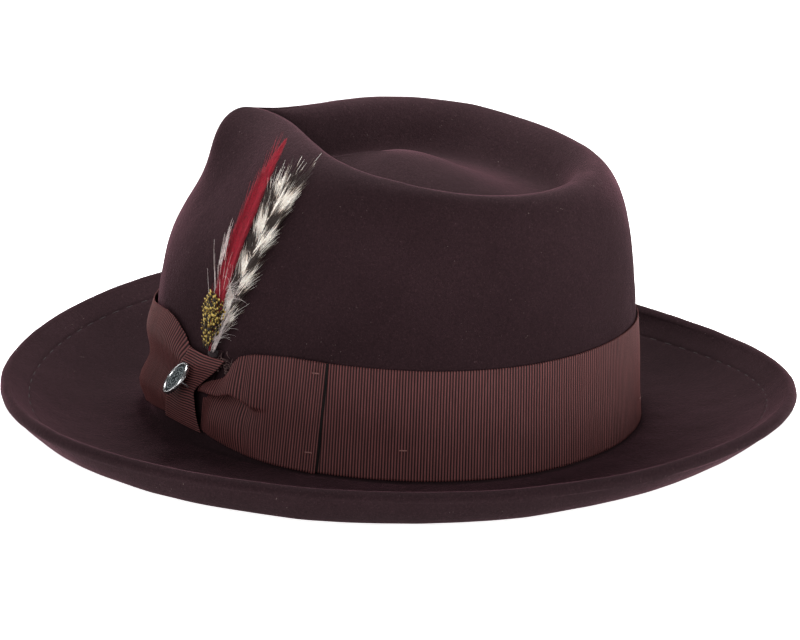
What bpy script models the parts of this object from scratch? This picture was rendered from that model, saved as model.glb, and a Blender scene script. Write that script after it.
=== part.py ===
"""A felt fedora with a ribbon band and bow, a lapel badge, a feather trim, and its inner fittings.

Metres. +Z is up, the front of the hat faces -Y, and the bow is on the wearer's left, at +X.
An angle runs round the crown: 0 is the front, 90 degrees the wearer's left, 180 the back.
"""

import math

import bmesh
import bpy
from mathutils import Matrix, Vector

# ---- driving dimensions, in metres and degrees ----
COLUMNS = 24
BREAK_HEIGHT = 0.0036
CROWN_SHIFT = -0.0031
CROWN_LENGTH = 0.1054
CROWN_WIDTH = 0.0874
BREAK_WAVE = (BREAK_HEIGHT, 0.0012, 0.0003, -0.0010)
BAND_HEIGHT = 0.0454
BAND_LEAN_LENGTH = 0.0032
BAND_LEAN_WIDTH = 0.0053
BAND_LEAN_BACK = 0.0012

FELT = 0.0022
RIM_THICKNESS = 0.0050
WELT_SHARE = 0.86
RIM_LENGTH = 0.1661
RIM_WIDTH = 0.1495
RIM_EGG = 0.165
RIM_WAVE = (BREAK_HEIGHT + 0.0180, 0.0027, 0.0001, -0.0023)
RIM_SLOPE = (59.7, -5.9, -25.1)
BRIM_NEAR = 0.413
BRIM_FAR = 0.327
BRIM_START_SLOPE = -0.8
FRONT_DIP = -21.5
FRONT_DIP_SPREAD = math.radians(34)

CREST_SHIFT = 0.0167
CREST_FRONT = 0.0869
CREST_BACK = 0.0635
CREST_WIDTH = 0.0652
CREST_WAVE = (BREAK_HEIGHT + 0.1187, 0.0099, 0.0004, -0.0006)
CREST_ROLL = 0.0189
PINCH_ANGLE = math.radians(33.7)
PINCH_SPREAD = math.radians(21.3)
PINCH_DEPTH = 0.0277
HOLLOW_HEIGHT = BREAK_HEIGHT + 0.1016
HOLLOW_SPREAD = 0.013
HOLLOW_DEPTH = 0.0033
NOSE_HOLLOW = 0.0039
NOSE_SPREAD = math.radians(28)

GROOVE_SHIFT = 0.0084
GROOVE_FRONT = 0.0583
GROOVE_BACK = 0.0560
GROOVE_WIDTH = 0.0426
GROOVE_PINCH = 0.0160
GROOVE_WAVE = (BREAK_HEIGHT + 0.0999, 0.0067)
DOME_HEIGHT = BREAK_HEIGHT + 0.1134
DOME_SHIFT = -0.0014

GAP = 0.0005
RIBBON = 0.0008
BAND_START = 43.0
BAND_END = -299.0
GATHER_START = 14.0

KNOT_TOP = BREAK_HEIGHT + 0.0412
KNOT_BOTTOM = BREAK_HEIGHT + 0.0086
KNOT_THICKNESS = 0.0010
KNOT_RISE = 0.0032
KNOT_BULGE = 0.0034

LEAF_END_ANGLE = 84.7
LEAF_LIFT = 0.0019

BADGE_CENTRE = Vector((0.0739, -0.0767, BREAK_HEIGHT + 0.0317))
BADGE_AXIS = Vector((0.3514, -0.6752, 0.6486)).normalized()
BADGE_RADIUS = 0.00755
BADGE_THICKNESS = 0.0016
NEEDLE_RADIUS = 0.0004
NEEDLE_LENGTH = 0.0118
NEEDLE_HOLE_RADIUS = 0.0008

FEATHER_ROOT = Vector((0.0730, -0.0611, BREAK_HEIGHT + 0.0447))
FEATHER_AXIS = Vector((0.02, 0.24, 0.97)).normalized()
FEATHER_OUT = Vector((0.830, -0.530, 0.150)).normalized()

SWEAT_OFFSET = 0.0040
SWEAT_THICKNESS = 0.0010
SWEAT_HEIGHT = 0.0340
LINING_OFFSET = 0.0029
LINING_THICKNESS = 0.0004
LINING_SLACK = 0.0030
LINING_BOTTOM = 0.0220
LINING_TOP = 0.0840
TIP_RISE = 0.0040


# ---- small helpers ----
def wave(terms, angle):
    return sum(term * math.cos(order * angle) for order, term in enumerate(terms))


def bezier(start, near_start, near_end, end, share):
    rest = 1 - share
    return (
        start * rest**3
        + near_start * (3 * rest * rest * share)
        + near_end * (3 * rest * share * share)
        + end * share**3
    )


def mix(low, high, share):
    return low + (high - low) * share


def ramp(value, low, high):
    share = min(1.0, max(0.0, (value - low) / (high - low)))
    return share * share * (3 - 2 * share)


def bell(value, centre, spread):
    return math.exp(-0.5 * ((value - centre) / spread) ** 2)


def turn_from(angle, other):
    return (angle - other + math.pi) % math.tau - math.pi


def oval(angle, length, width, shift, egg=0.0):
    across = width * math.sin(angle) * (1 + egg * math.cos(angle))
    return Vector((across, shift - length * math.cos(angle), 0))


def raised(point, height):
    return Vector((point.x, point.y, height))


# ---- the felt's outer surface, in zones along one line from the rim to the middle of the dome ----
def crown_base(angle):
    return oval(angle, CROWN_LENGTH, CROWN_WIDTH, CROWN_SHIFT)


def band_top(angle):
    length = CROWN_LENGTH - BAND_LEAN_LENGTH
    width = CROWN_WIDTH - BAND_LEAN_WIDTH
    return oval(angle, length, width, CROWN_SHIFT + BAND_LEAN_BACK)


def pinch_weights(angle):
    left = bell(turn_from(angle, PINCH_ANGLE), 0, PINCH_SPREAD)
    right = bell(turn_from(angle, -PINCH_ANGLE), 0, PINCH_SPREAD)
    return left, right


def pinch_push(angle):
    left, right = pinch_weights(angle)
    return Vector((0.97 * (right - left), 0.25 * (left + right), 0))


def brim_frame(angle):
    base = crown_base(angle)
    reach = oval(angle, RIM_LENGTH, RIM_WIDTH, 0, RIM_EGG) - base
    slope = math.radians(wave(RIM_SLOPE, angle))
    return base, reach.normalized(), reach.length, slope


def brim_point(angle, share):
    """The brim's top surface: share 0 is the break at the crown, 1 is where the rim starts to round."""
    base, outward, width, slope = brim_frame(angle)
    half = RIM_THICKNESS / 2
    width -= half * math.sin(slope)
    low = wave(BREAK_WAVE, angle)
    rise = wave(RIM_WAVE, angle) + half * (math.cos(slope) - 1) - low
    dip = FRONT_DIP * bell(turn_from(angle, 0), 0, FRONT_DIP_SPREAD)
    start = math.radians(BRIM_START_SLOPE + dip)
    near = BRIM_NEAR * width
    far = BRIM_FAR * width
    reach = bezier(0, near * math.cos(start), width - far * math.cos(slope), width, share)
    climb = bezier(0, near * math.sin(start), rise - far * math.sin(slope), rise, share)
    return raised(base + outward * reach, low + climb)


def rim_point(angle, share):
    """The rounded edge: share 0 meets the top surface, 1 the under surface."""
    base, outward, width, slope = brim_frame(angle)
    half = RIM_THICKNESS / 2
    turn = slope + math.pi / 2 - math.pi * share
    height = wave(RIM_WAVE, angle) - half + half * math.sin(turn)
    return raised(base + outward * (width + half * math.cos(turn)), height)


def wall_point(angle, share):
    flat = crown_base(angle).lerp(band_top(angle), share)
    return raised(flat, wave(BREAK_WAVE, angle) + BAND_HEIGHT * share)


def crest_flat(angle):
    length = CREST_FRONT if math.cos(angle) > 0 else CREST_BACK
    return oval(angle, length, CREST_WIDTH, CREST_SHIFT) + pinch_push(angle) * PINCH_DEPTH


def groove_flat(angle):
    length = GROOVE_FRONT if math.cos(angle) > 0 else GROOVE_BACK
    return oval(angle, length, GROOVE_WIDTH, GROOVE_SHIFT) + pinch_push(angle) * GROOVE_PINCH


def side_point(angle, share):
    """The crown's side above the band, rolling over at the crest and hollowed by the pinch."""
    top = band_top(angle)
    crest = crest_flat(angle)
    low = wave(BREAK_WAVE, angle) + BAND_HEIGHT
    high = wave(CREST_WAVE, angle)
    near = 0.45 * (high - low)
    lean = (top - crown_base(angle)) / BAND_HEIGHT
    inward = (crest - top).normalized()
    roll = min(CREST_ROLL, 0.8 * (crest - top).length)
    flat = bezier(top, top + lean * near, crest - inward * roll, crest, share)
    height = bezier(low, low + near, high, high, share)
    left, right = pinch_weights(angle)
    depth = HOLLOW_DEPTH * (left + right) + NOSE_HOLLOW * bell(turn_from(angle, 0), 0, NOSE_SPREAD)
    flat += inward * depth * bell(height, HOLLOW_HEIGHT, HOLLOW_SPREAD)
    return raised(flat, height)


def roll_point(angle, share):
    """From the crest down into the groove round the dome."""
    crest = crest_flat(angle)
    groove = groove_flat(angle)
    inward = (groove - crest).normalized()
    width = (groove - crest).length
    near = min(0.010, 0.7 * width)
    far = min(0.008, 0.4 * width)
    flat = bezier(crest, crest + inward * near, groove - inward * far, groove, share)
    high = wave(CREST_WAVE, angle)
    low = wave(GROOVE_WAVE, angle)
    return raised(flat, bezier(high, high, low, low, share))


def dome_point(angle, share):
    flat = groove_flat(angle).lerp(Vector((0, DOME_SHIFT, 0)), share)
    low = wave(GROOVE_WAVE, angle)
    return raised(flat, bezier(low, low, DOME_HEIGHT, DOME_HEIGHT, share))


ZONES = {
    "rim": (rim_point, -1),
    "brim": (brim_point, -1),
    "wall": (wall_point, 1),
    "side": (side_point, 1),
    "roll": (roll_point, 1),
    "dome": (dome_point, 1),
}


def felt_point(zone, angle, share, depth=0.0):
    """A point that lies depth inside the felt's outer surface."""
    place, direction = ZONES[zone]
    point = place(angle, share)
    if depth == 0:
        return point
    step = 0.001
    round_way = place(angle + step, share) - place(angle - step, share)
    along = (place(angle, share + step) - place(angle, share - step)) * direction
    return point - round_way.cross(along).normalized() * depth


def on_crown(angle, height, offset):
    """A point beside the band's part of the crown, offset outwards from the felt."""
    low = wave(BREAK_WAVE, angle)
    flat = crown_base(angle).lerp(band_top(angle), (height - low) / BAND_HEIGHT)
    outward = Vector((math.sin(angle) / CROWN_WIDTH, -math.cos(angle) / CROWN_LENGTH, 0)).normalized()
    return raised(flat + outward * offset, height)


def inside_crown(angle, height, offset):
    """A point inside the crown at a height, offset inwards from the felt's outer surface."""
    low = wave(BREAK_WAVE, angle)
    if height <= low + BAND_HEIGHT:
        return on_crown(angle, height, -offset)
    below, above = 0.0, 1.0
    for _ in range(30):
        middle = (below + above) / 2
        if side_point(angle, middle).z < height:
            below = middle
        else:
            above = middle
    outer = side_point(angle, below)
    step = 0.01
    round_way = side_point(angle + step, below) - side_point(angle - step, below)
    outward = Vector((round_way.y, -round_way.x, 0)).normalized()
    return raised(outer - outward * offset, height)


# ---- building tools ----
def clear_scene():
    for item in list(bpy.data.objects):
        bpy.data.objects.remove(item)


def new_collection(name):
    made = bpy.data.collections.new(name)
    bpy.context.scene.collection.children.link(made)
    return made


def make_material(name, colour, roughness, metallic=0.0):
    made = bpy.data.materials.new(name)
    made.use_nodes = True
    shader = made.node_tree.nodes["Principled BSDF"]
    shader.inputs["Base Color"].default_value = (*colour, 1)
    shader.inputs["Roughness"].default_value = roughness
    shader.inputs["Metallic"].default_value = metallic
    return made


def add_object(name, data, material, collection, parent=None, location=None):
    made = bpy.data.objects.new(name, data)
    collection.objects.link(made)
    data.materials.append(material)
    if location is not None:
        made.location = location
    if parent is not None:
        made.parent = parent
        made.matrix_parent_inverse = Matrix.Translation(parent.location).inverted()
    return made


def mesh_from(name, build):
    shape = bmesh.new()
    build(shape)
    data = bpy.data.meshes.new(name)
    shape.to_mesh(data)
    shape.free()
    data.shade_smooth()
    data.set_sharp_from_angle(angle=math.radians(50))
    return data


def add_rows(shape, rows, closed):
    """Quads between neighbouring rows of points. A closed row joins its last point to its first."""
    grid = [[shape.verts.new(point) for point in row] for row in rows]
    for lower, upper in zip(grid, grid[1:]):
        count = len(lower)
        for index in range(count if closed else count - 1):
            after = (index + 1) % count
            shape.faces.new((lower[index], lower[after], upper[after], upper[index]))
    return grid


def add_fan(shape, ring, centre, flip):
    middle = shape.verts.new(centre)
    count = len(ring)
    for index in range(count):
        pair = [ring[index], ring[(index + 1) % count]]
        if flip:
            pair.reverse()
        shape.faces.new((*pair, middle))


def angles(count, start=0.0, end=math.tau):
    return [mix(start, end, index / count) for index in range(count)]


def thicken(item, thickness, outwards=1):
    modifier = item.modifiers.new("Thickness", "SOLIDIFY")
    modifier.thickness = thickness
    modifier.offset = outwards


def strip(name, rows, thickness, material, collection, closed=False, **placing):
    """A sheet of cloth or leather: a grid of points, thickened away from the crown's axis."""
    data = mesh_from(name, lambda shape: add_rows(shape, rows, closed))
    item = add_object(name, data, material, collection, **placing)
    thicken(item, thickness)
    return item


def cord_ring(name, points, radius, material, collection):
    curve = bpy.data.curves.new(name, "CURVE")
    curve.dimensions = "3D"
    curve.bevel_depth = radius
    curve.bevel_resolution = 1
    spline = curve.splines.new("POLY")
    spline.points.add(len(points) - 1)
    for target, point in zip(spline.points, points):
        target.co = (*point, 1)
    spline.use_cyclic_u = True
    return add_object(name, curve, material, collection)


# ---- the felt ----
OUTER_RINGS = (
    ("rim", 0.5),
    ("brim", 1.0),
    ("brim", 0.78),
    ("brim", 0.5),
    ("brim", 0.22),
    ("brim", 0.06),
    ("brim", 0.012),
    ("wall", 0.04),
    ("wall", 1.0),
    ("side", 0.25),
    ("side", 0.5),
    ("side", 0.75),
    ("side", 1.0),
    ("roll", 0.35),
    ("roll", 0.7),
    ("roll", 1.0),
    ("dome", 0.5),
)
UNDER_RINGS = (
    ("rim", 1.0, 0.0),
    ("brim", WELT_SHARE, RIM_THICKNESS),
    ("brim", WELT_SHARE - 0.03, FELT),
    ("brim", 0.60, FELT),
    ("brim", 0.45, FELT),
    ("brim", 0.30, FELT),
    ("brim", 0.16, FELT),
    ("brim", 0.012, FELT),
)
INNER_RINGS = tuple((zone, share, FELT) for zone, share in OUTER_RINGS[7:])


def felt_ring(zone, share, depth):
    """A cage ring, drawn a little wide so that the smoothed surface has the right size."""
    swell = 1 / (0.75 + 0.25 * math.cos(math.tau / COLUMNS))
    ring = []
    for angle in angles(COLUMNS):
        point = felt_point(zone, angle, share, depth)
        ring.append(Vector((point.x * swell, point.y * swell, max(0.0, point.z))))
    return ring


def build_felt(shape):
    outer = [felt_ring(zone, share, 0.0) for zone, share in OUTER_RINGS]
    inner = [felt_ring(*ring) for ring in UNDER_RINGS + INNER_RINGS]
    grid = add_rows(shape, inner[::-1] + outer, True)
    top = dome_point(0, 1)
    add_fan(shape, grid[-1], top, False)
    add_fan(shape, grid[0], top - Vector((0, 0, FELT)), True)


def make_felt(material, collection):
    item = add_object("felt_body", mesh_from("felt_body", build_felt), material, collection)
    smoothing = item.modifiers.new("Smoothing", "SUBSURF")
    smoothing.levels = 1
    smoothing.render_levels = 1


# ---- ribbon band, bow leaf, knot and stitches ----
def ribbon_column(angle_low, angle_high, low, high, lift, rows=3):
    column = []
    for index in range(rows):
        share = index / (rows - 1)
        angle = math.radians(mix(angle_low, angle_high, share))
        column.append(on_crown(angle, mix(low, high, share), lift))
    return column


def band_column(share):
    """One upright line of the band. Its front end is gathered under the knot."""
    angle_low = mix(BAND_START, BAND_END, share)
    gather = ramp(angle_low, GATHER_START, BAND_START)
    angle_high = angle_low + 8 * gather
    edge = wave(BREAK_WAVE, math.radians(angle_low))
    low = edge + 0.0018 + 0.0077 * gather
    high = edge + BAND_HEIGHT - 0.0045 * gather
    lift = GAP + 0.0013 * gather
    return ribbon_column(angle_low, angle_high, low, high, lift)


def make_band(material, collection):
    count = 66
    columns = [band_column(index / count) for index in range(count + 1)]
    columns.reverse()
    rows = [list(row) for row in zip(*columns)]
    strip("ribbon_band", rows, RIBBON, material, collection)


def leaf_column(share):
    """One upright line of the bow's rear leaf, from under the knot to its free end."""
    angle_low = mix(51, LEAF_END_ANGLE - 0.7, share)
    angle_high = mix(57, LEAF_END_ANGLE + 0.7, share)
    spread = ramp(share, 0.0, 0.5)
    low = BREAK_HEIGHT + mix(0.0105, 0.0010, spread)
    high = BREAK_HEIGHT + mix(0.0395, 0.0465, spread)
    lift = LEAF_LIFT + 0.0010 * bell(share, 0.45, 0.13)
    return ribbon_column(angle_low, angle_high, low, high, lift, 5)


def make_leaf(material, collection):
    count = 12
    columns = [leaf_column(index / count) for index in range(count + 1)]
    rows = [list(row) for row in zip(*columns)]
    strip("bow_leaf", rows, RIBBON, material, collection)


def knot_point(across, up):
    """The knot strip: across 0 is its front edge and 1 its rear edge; up runs from its bottom to its top."""
    waist = math.sin(math.pi * up)
    front = mix(40.5, 48.0, up) + 1.5 * waist
    rear = mix(53.5, 59.5, up) - 2.0 * waist
    bulge = KNOT_RISE + KNOT_BULGE * waist + 0.0004 * math.sin(math.pi * across)
    return on_crown(math.radians(mix(front, rear, across)), mix(KNOT_BOTTOM, KNOT_TOP, up), bulge)


def make_knot(material, collection, cutters):
    rows = [[knot_point(across / 6, up / 12) for across in range(7)] for up in range(13)]
    item = strip("bow_knot", rows, KNOT_THICKNESS, material, collection)
    hole = cylinder_between(
        "needle_hole",
        BADGE_CENTRE - BADGE_AXIS * 0.004,
        BADGE_CENTRE - BADGE_AXIS * 0.014,
        NEEDLE_HOLE_RADIUS,
        material,
        cutters,
    )
    hole.hide_render = True
    hole.display_type = "WIRE"
    cut = item.modifiers.new("Needle hole", "BOOLEAN")
    cut.operation = "DIFFERENCE"
    cut.object = hole


def cylinder_between(name, start, end, radius, material, collection, sides=12, **placing):
    def build(shape):
        length = (end - start).length
        bmesh.ops.create_cone(
            shape, cap_ends=True, segments=sides, radius1=radius, radius2=radius, depth=length
        )

    item = add_object(name, mesh_from(name, build), material, collection, **placing)
    turn = (end - start).to_track_quat("Z", "Y")
    item.rotation_mode = "QUATERNION"
    item.rotation_quaternion = turn
    item.location = (start + end) / 2
    return item


STITCHES = {
    "leaf_stitch_upper": (83.2, 0.0425, 0.0033),
    "leaf_stitch_lower": (82.6, 0.0097, 0.0033),
    "band_stitch_left": (103.4, 0.0125, 0.0019),
    "band_stitch_back": (180.0, 0.0125, 0.0019),
    "band_stitch_right": (256.6, 0.0125, 0.0019),
}


def make_stitches(material, collection):
    """Each tack is a short bar of thread that lies across the ribbon."""
    for name, (degrees, height, offset) in STITCHES.items():
        middle = math.radians(degrees)
        half = math.radians(0.8)
        start = on_crown(middle - half, BREAK_HEIGHT + height, offset)
        end = on_crown(middle + half, BREAK_HEIGHT + height, offset)
        cylinder_between(name, start, end, 0.0003, material, collection, 8)


# ---- badge ----
def turned(name, profile, material, collection, centre, axis, steps=24, **placing):
    """A turned solid from a (radius, height) profile that runs down its outer side."""
    data = bpy.data.meshes.new(name)
    points = [(radius, 0, height) for radius, height in profile]
    data.from_pydata(points, [(index, index + 1) for index in range(len(points) - 1)], [])
    item = add_object(name, data, material, collection, **placing)
    item.rotation_mode = "QUATERNION"
    item.rotation_quaternion = axis.to_track_quat("Z", "Y")
    item.location = centre
    screw = item.modifiers.new("Turning", "SCREW")
    screw.steps = steps
    screw.render_steps = steps
    screw.use_merge_vertices = True
    screw.merge_threshold = 0.00001
    return item


def make_badge(metal, face, collection, pivot):
    half = BADGE_THICKNESS / 2
    recess = BADGE_RADIUS - 0.0012
    floor = half - 0.0007
    case = (
        (0, floor),
        (recess, floor),
        (recess, half - 0.0001),
        (recess + 0.0003, half),
        (BADGE_RADIUS - 0.0003, half),
        (BADGE_RADIUS, half - 0.0003),
        (BADGE_RADIUS, -half + 0.0003),
        (BADGE_RADIUS - 0.0003, -half),
        (0, -half),
    )
    turned("badge_case", case, metal, collection, BADGE_CENTRE, BADGE_AXIS, parent=pivot)
    rim = recess - 0.0003
    insert = ((0, half - 0.0001), (rim, half - 0.0001), (rim, floor + 0.0003), (0, floor + 0.0003))
    turned("badge_face", insert, face, collection, BADGE_CENTRE, BADGE_AXIS, parent=pivot)
    top = BADGE_CENTRE - BADGE_AXIS * (half + 0.0003)
    cylinder_between(
        "badge_needle", top, top - BADGE_AXIS * NEEDLE_LENGTH, NEEDLE_RADIUS, metal, collection
    )


# ---- feather trim ----
def feather_blade(name, path, widths, layer, thickness, material, collection, pivot):
    """A flat blade along a curved path: widths are its half-widths at even shares of its length."""
    side = FEATHER_AXIS.cross(FEATHER_OUT).normalized()
    last = 3 * (len(widths) - 1)
    rows = []
    for index in range(last + 1):
        share = index / last
        place = bezier(*path, share) + FEATHER_OUT * layer
        slot = min(int(share * (len(widths) - 1)), len(widths) - 2)
        half = mix(widths[slot], widths[slot + 1], share * (len(widths) - 1) - slot)
        rows.append([place + side * half, place, place - side * half])
    strip(name, rows, thickness, material, collection, parent=pivot)


def feather_paths():
    root = FEATHER_ROOT
    shift = Vector((0, CROWN_SHIFT, BREAK_HEIGHT))
    red = (root, shift + Vector((0.0752, -0.0517, 0.0704)), shift + Vector((0.0637, -0.0461, 0.1032)))
    barred = (root, shift + Vector((0.0762, -0.0497, 0.0724)), shift + Vector((0.0697, -0.0371, 0.1012)))
    red_end = shift + Vector((0.0428, -0.0363, 0.1286))
    barred_end = shift + Vector((0.0548, -0.0258, 0.1251))
    return (*red, red_end), (*barred, barred_end)


def short_path(length, bend):
    start = FEATHER_ROOT
    end = start + FEATHER_AXIS * length + bend
    return (start, start.lerp(end, 0.33), start.lerp(end, 0.66), end)


def make_feathers(materials, collection, pivot):
    red_path, barred_path = feather_paths()
    blades = (
        ("feather_barred", barred_path, (0.0012, 0.004, 0.005, 0.005, 0.004), -0.0012, "barred"),
        ("feather_red", red_path, (0.0012, 0.003, 0.003, 0.002, 0.001), 0.0011, "red"),
        (
            "feather_gold",
            short_path(0.023, Vector((-0.004, -0.006, 0))),
            (0.0012, 0.0045, 0.005, 0.003),
            0.0028,
            "gold",
        ),
        (
            "feather_white",
            short_path(0.036, Vector((-0.009, -0.014, 0))),
            (0.0008, 0.0015, 0.0015, 0.0006),
            -0.0028,
            "white",
        ),
    )
    for name, path, widths, layer, key in blades:
        feather_blade(name, path, widths, layer, 0.0010, materials[key], collection, pivot)
    low = FEATHER_ROOT - FEATHER_AXIS * 0.0023 - FEATHER_OUT * 0.0006
    high = FEATHER_ROOT - FEATHER_AXIS * 0.0004 - FEATHER_OUT * 0.0006
    cylinder_between("feather_binding", low, high, 0.0022, materials["thread"], collection, parent=pivot)
    make_tab(materials["tab"], collection, pivot)


def make_tab(material, collection, pivot):
    """The felt tab that carries the feathers, tucked between the crown and the knot."""
    rows = []
    for up in range(5):
        height = BREAK_HEIGHT + mix(0.0150, 0.0435, up / 4)
        middle = mix(49.3, 55.2, up / 4)
        row = [on_crown(math.radians(middle + side * 2.6), height, 0.0005) for side in (-1, 0, 1)]
        rows.append(row)
    strip("feather_tab", rows, 0.0006, material, collection, parent=pivot)


# ---- inside the crown ----
def ring_inside(height, offset, count=48):
    """A level ring at a height above the break, offset inwards."""
    ring = []
    for angle in angles(count):
        ring.append(inside_crown(angle, wave(BREAK_WAVE, angle) + height, offset))
    return ring


def make_sweatband(leather, cloth, cord, collection):
    rows = [ring_inside(height, SWEAT_OFFSET + SWEAT_THICKNESS) for height in (0.0016, 0.018, SWEAT_HEIGHT)]
    strip("sweatband", rows, SWEAT_THICKNESS, leather, collection, closed=True)
    cord_ring("sweatband_reed", ring_inside(0.0002, 0.0046, 40), 0.0010, cord, collection)
    inner = SWEAT_OFFSET + SWEAT_THICKNESS
    loops = {"sweatband_bow_left": 1, "sweatband_bow_right": -1}
    for name, side in loops.items():
        rows = []
        for index in range(6):
            share = index / 5
            middle = math.pi - side * math.radians(mix(1.6, 8.5, share))
            half = 0.0008 + 0.0022 * math.sin(math.pi * min(1, 0.15 + share * 0.75))
            heights = (0.0085 - half, 0.0085 + half)
            rows.append([inside_crown(middle, BREAK_HEIGHT + z, inner + 0.0012) for z in heights])
        if side > 0:
            rows.reverse()
        strip(name, rows, 0.0006, cloth, collection)
    low = inside_crown(math.pi, BREAK_HEIGHT + 0.0065, inner + 0.0016)
    high = inside_crown(math.pi, BREAK_HEIGHT + 0.0105, inner + 0.0016)
    cylinder_between("sweatband_bow_knot", low, high, 0.0011, cloth, collection)


def lining_ring(height, offset, count=48):
    """A level ring that stands further from the felt above the sweatband."""
    offset += LINING_SLACK * ramp(height, SWEAT_HEIGHT - 0.006, LINING_TOP - 0.02)
    return [inside_crown(angle, BREAK_HEIGHT + height, offset) for angle in angles(count)]


def tip_rows(shrink, drop, shares):
    """Level rings of the lining's tip, which rises a little towards its middle."""
    edge = lining_ring(LINING_TOP, LINING_OFFSET + 0.0010)
    middle = Vector((0, CROWN_SHIFT, 0))
    rows = []
    for share in shares:
        height = BREAK_HEIGHT + LINING_TOP + TIP_RISE * math.sin(share * math.pi / 2) - drop
        rows.append([raised(middle.lerp(point, (1 - share) * shrink), height) for point in edge])
    return rows, raised(middle, BREAK_HEIGHT + LINING_TOP + TIP_RISE - drop)


def dish(name, shrink, drop, shares, thickness, material, collection):
    rows, centre = tip_rows(shrink, drop, shares)

    def build(shape):
        grid = add_rows(shape, rows, True)
        add_fan(shape, grid[-1], centre, False)

    item = add_object(name, mesh_from(name, build), material, collection)
    thicken(item, thickness, -1)


def make_lining(satin, piping, label, collection):
    heights = [mix(LINING_BOTTOM, LINING_TOP - 0.0010, index / 4) for index in range(5)]
    rows = [lining_ring(height, LINING_OFFSET + LINING_THICKNESS) for height in heights]
    strip("lining_side", rows, LINING_THICKNESS, satin, collection, closed=True)
    dish("lining_tip", 1.0, 0.0, (0.0, 0.35, 0.7), LINING_THICKNESS, satin, collection)
    points = lining_ring(LINING_TOP - 0.0018, LINING_OFFSET + 0.0022)
    cord_ring("lining_piping", points, 0.0008, piping, collection)
    dish("lining_patch", 0.5, 0.0012, (0.0, 0.35, 0.7), 0.0003, label, collection)
    make_label(label, collection)


def make_label(material, collection):
    rows = []
    for height in (0.0355, 0.0440):
        row = [
            inside_crown(math.radians(mix(147, 157, index / 4)), BREAK_HEIGHT + height, 0.0054)
            for index in range(5)
        ]
        rows.append(row)
    strip("size_label", rows, 0.0003, material, collection)


def pivot_at(name, place, collection):
    pivot = bpy.data.objects.new(name, None)
    pivot.empty_display_size = 0.01
    pivot.location = place
    collection.objects.link(pivot)
    return pivot


def make_materials():
    return {
        "felt": make_material("felt", (0.030, 0.017, 0.019), 0.95),
        "ribbon": make_material("ribbon", (0.050, 0.021, 0.020), 0.7),
        "metal": make_material("badge_metal", (0.45, 0.45, 0.46), 0.35, 1.0),
        "face": make_material("badge_enamel", (0.05, 0.07, 0.075), 0.35),
        "barred": make_material("barred_feather", (0.45, 0.38, 0.33), 0.8),
        "red": make_material("red_feather", (0.42, 0.008, 0.02), 0.7),
        "gold": make_material("gold_feather", (0.40, 0.25, 0.04), 0.6),
        "white": make_material("white_feather", (0.75, 0.72, 0.70), 0.8),
        "thread": make_material("thread", (0.05, 0.02, 0.02), 0.8),
        "tab": make_material("feather_felt", (0.02, 0.012, 0.012), 0.95),
        "leather": make_material("sweatband_leather", (0.075, 0.032, 0.018), 0.5),
        "satin": make_material("lining_satin", (0.045, 0.025, 0.022), 0.4),
        "label": make_material("label_cloth", (0.62, 0.57, 0.48), 0.7),
        "reed": make_material("reed_plastic", (0.10, 0.06, 0.04), 0.5),
    }


def main():
    clear_scene()
    hat = new_collection("fedora_hat")
    cutters = new_collection("cutters")
    materials = make_materials()
    make_felt(materials["felt"], hat)
    make_band(materials["ribbon"], hat)
    make_leaf(materials["ribbon"], hat)
    make_knot(materials["ribbon"], hat, cutters)
    make_stitches(materials["thread"], hat)
    badge_pivot = pivot_at("badge_pivot", BADGE_CENTRE, hat)
    make_badge(materials["metal"], materials["face"], hat, badge_pivot)
    feather_pivot = pivot_at("feather_pivot", FEATHER_ROOT, hat)
    make_feathers(materials, hat, feather_pivot)
    make_sweatband(materials["leather"], materials["ribbon"], materials["reed"], hat)
    make_lining(materials["satin"], materials["ribbon"], materials["label"], hat)


main()
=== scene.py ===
import math

import bpy
import numpy as np
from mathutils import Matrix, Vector


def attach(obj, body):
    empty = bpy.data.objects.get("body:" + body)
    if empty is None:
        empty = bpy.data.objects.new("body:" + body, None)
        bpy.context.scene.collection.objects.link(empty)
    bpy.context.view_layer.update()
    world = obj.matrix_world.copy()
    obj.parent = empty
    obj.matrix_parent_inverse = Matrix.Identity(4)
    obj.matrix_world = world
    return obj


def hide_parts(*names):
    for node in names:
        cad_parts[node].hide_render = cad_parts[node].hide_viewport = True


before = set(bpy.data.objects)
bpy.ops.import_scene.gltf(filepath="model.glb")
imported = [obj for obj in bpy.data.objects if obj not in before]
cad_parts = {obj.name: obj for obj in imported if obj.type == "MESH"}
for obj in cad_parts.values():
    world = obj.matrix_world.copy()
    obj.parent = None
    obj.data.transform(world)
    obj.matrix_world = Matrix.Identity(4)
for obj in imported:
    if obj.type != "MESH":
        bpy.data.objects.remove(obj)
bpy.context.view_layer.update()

# ---- the hat's design constants, the same as the CAD's, in metres, and in degrees unless converted ----
# t is the angle round the hat: 0 at the front, 90 degrees on the wearer's left.
# A wave is a cosine series in t.
TAU = math.tau
BREAK = 0.0036  # the mean height at which the crown meets the brim
SHIFT = -0.0031
CROWN_L, CROWN_W = 0.1054, 0.0874
BAND_H = 0.0454
LEAN_L, LEAN_W, LEAN_BACK = 0.0032, 0.0053, 0.0012
BREAK_WAVE = (BREAK, 0.0012, 0.0003, -0.0010)
FELT = 0.0022
RIM_T = 0.0050
RIM_L, RIM_W, RIM_EGG = 0.1661, 0.1495, 0.165
RIM_WAVE = (BREAK + 0.0180, 0.0027, 0.0001, -0.0023)
RIM_SLOPE = (59.7, -5.9, -25.1)
BRIM_NEAR, BRIM_FAR = 0.413, 0.327
START_SLOPE, FRONT_DIP, DIP_SPREAD = -0.8, -21.5, math.radians(34)
CREST_SHIFT, CREST_F, CREST_B, CREST_W = 0.0167, 0.0869, 0.0635, 0.0652
CREST_WAVE = (BREAK + 0.1187, 0.0099, 0.0004, -0.0006)
CREST_ROLL = 0.0189
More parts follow.
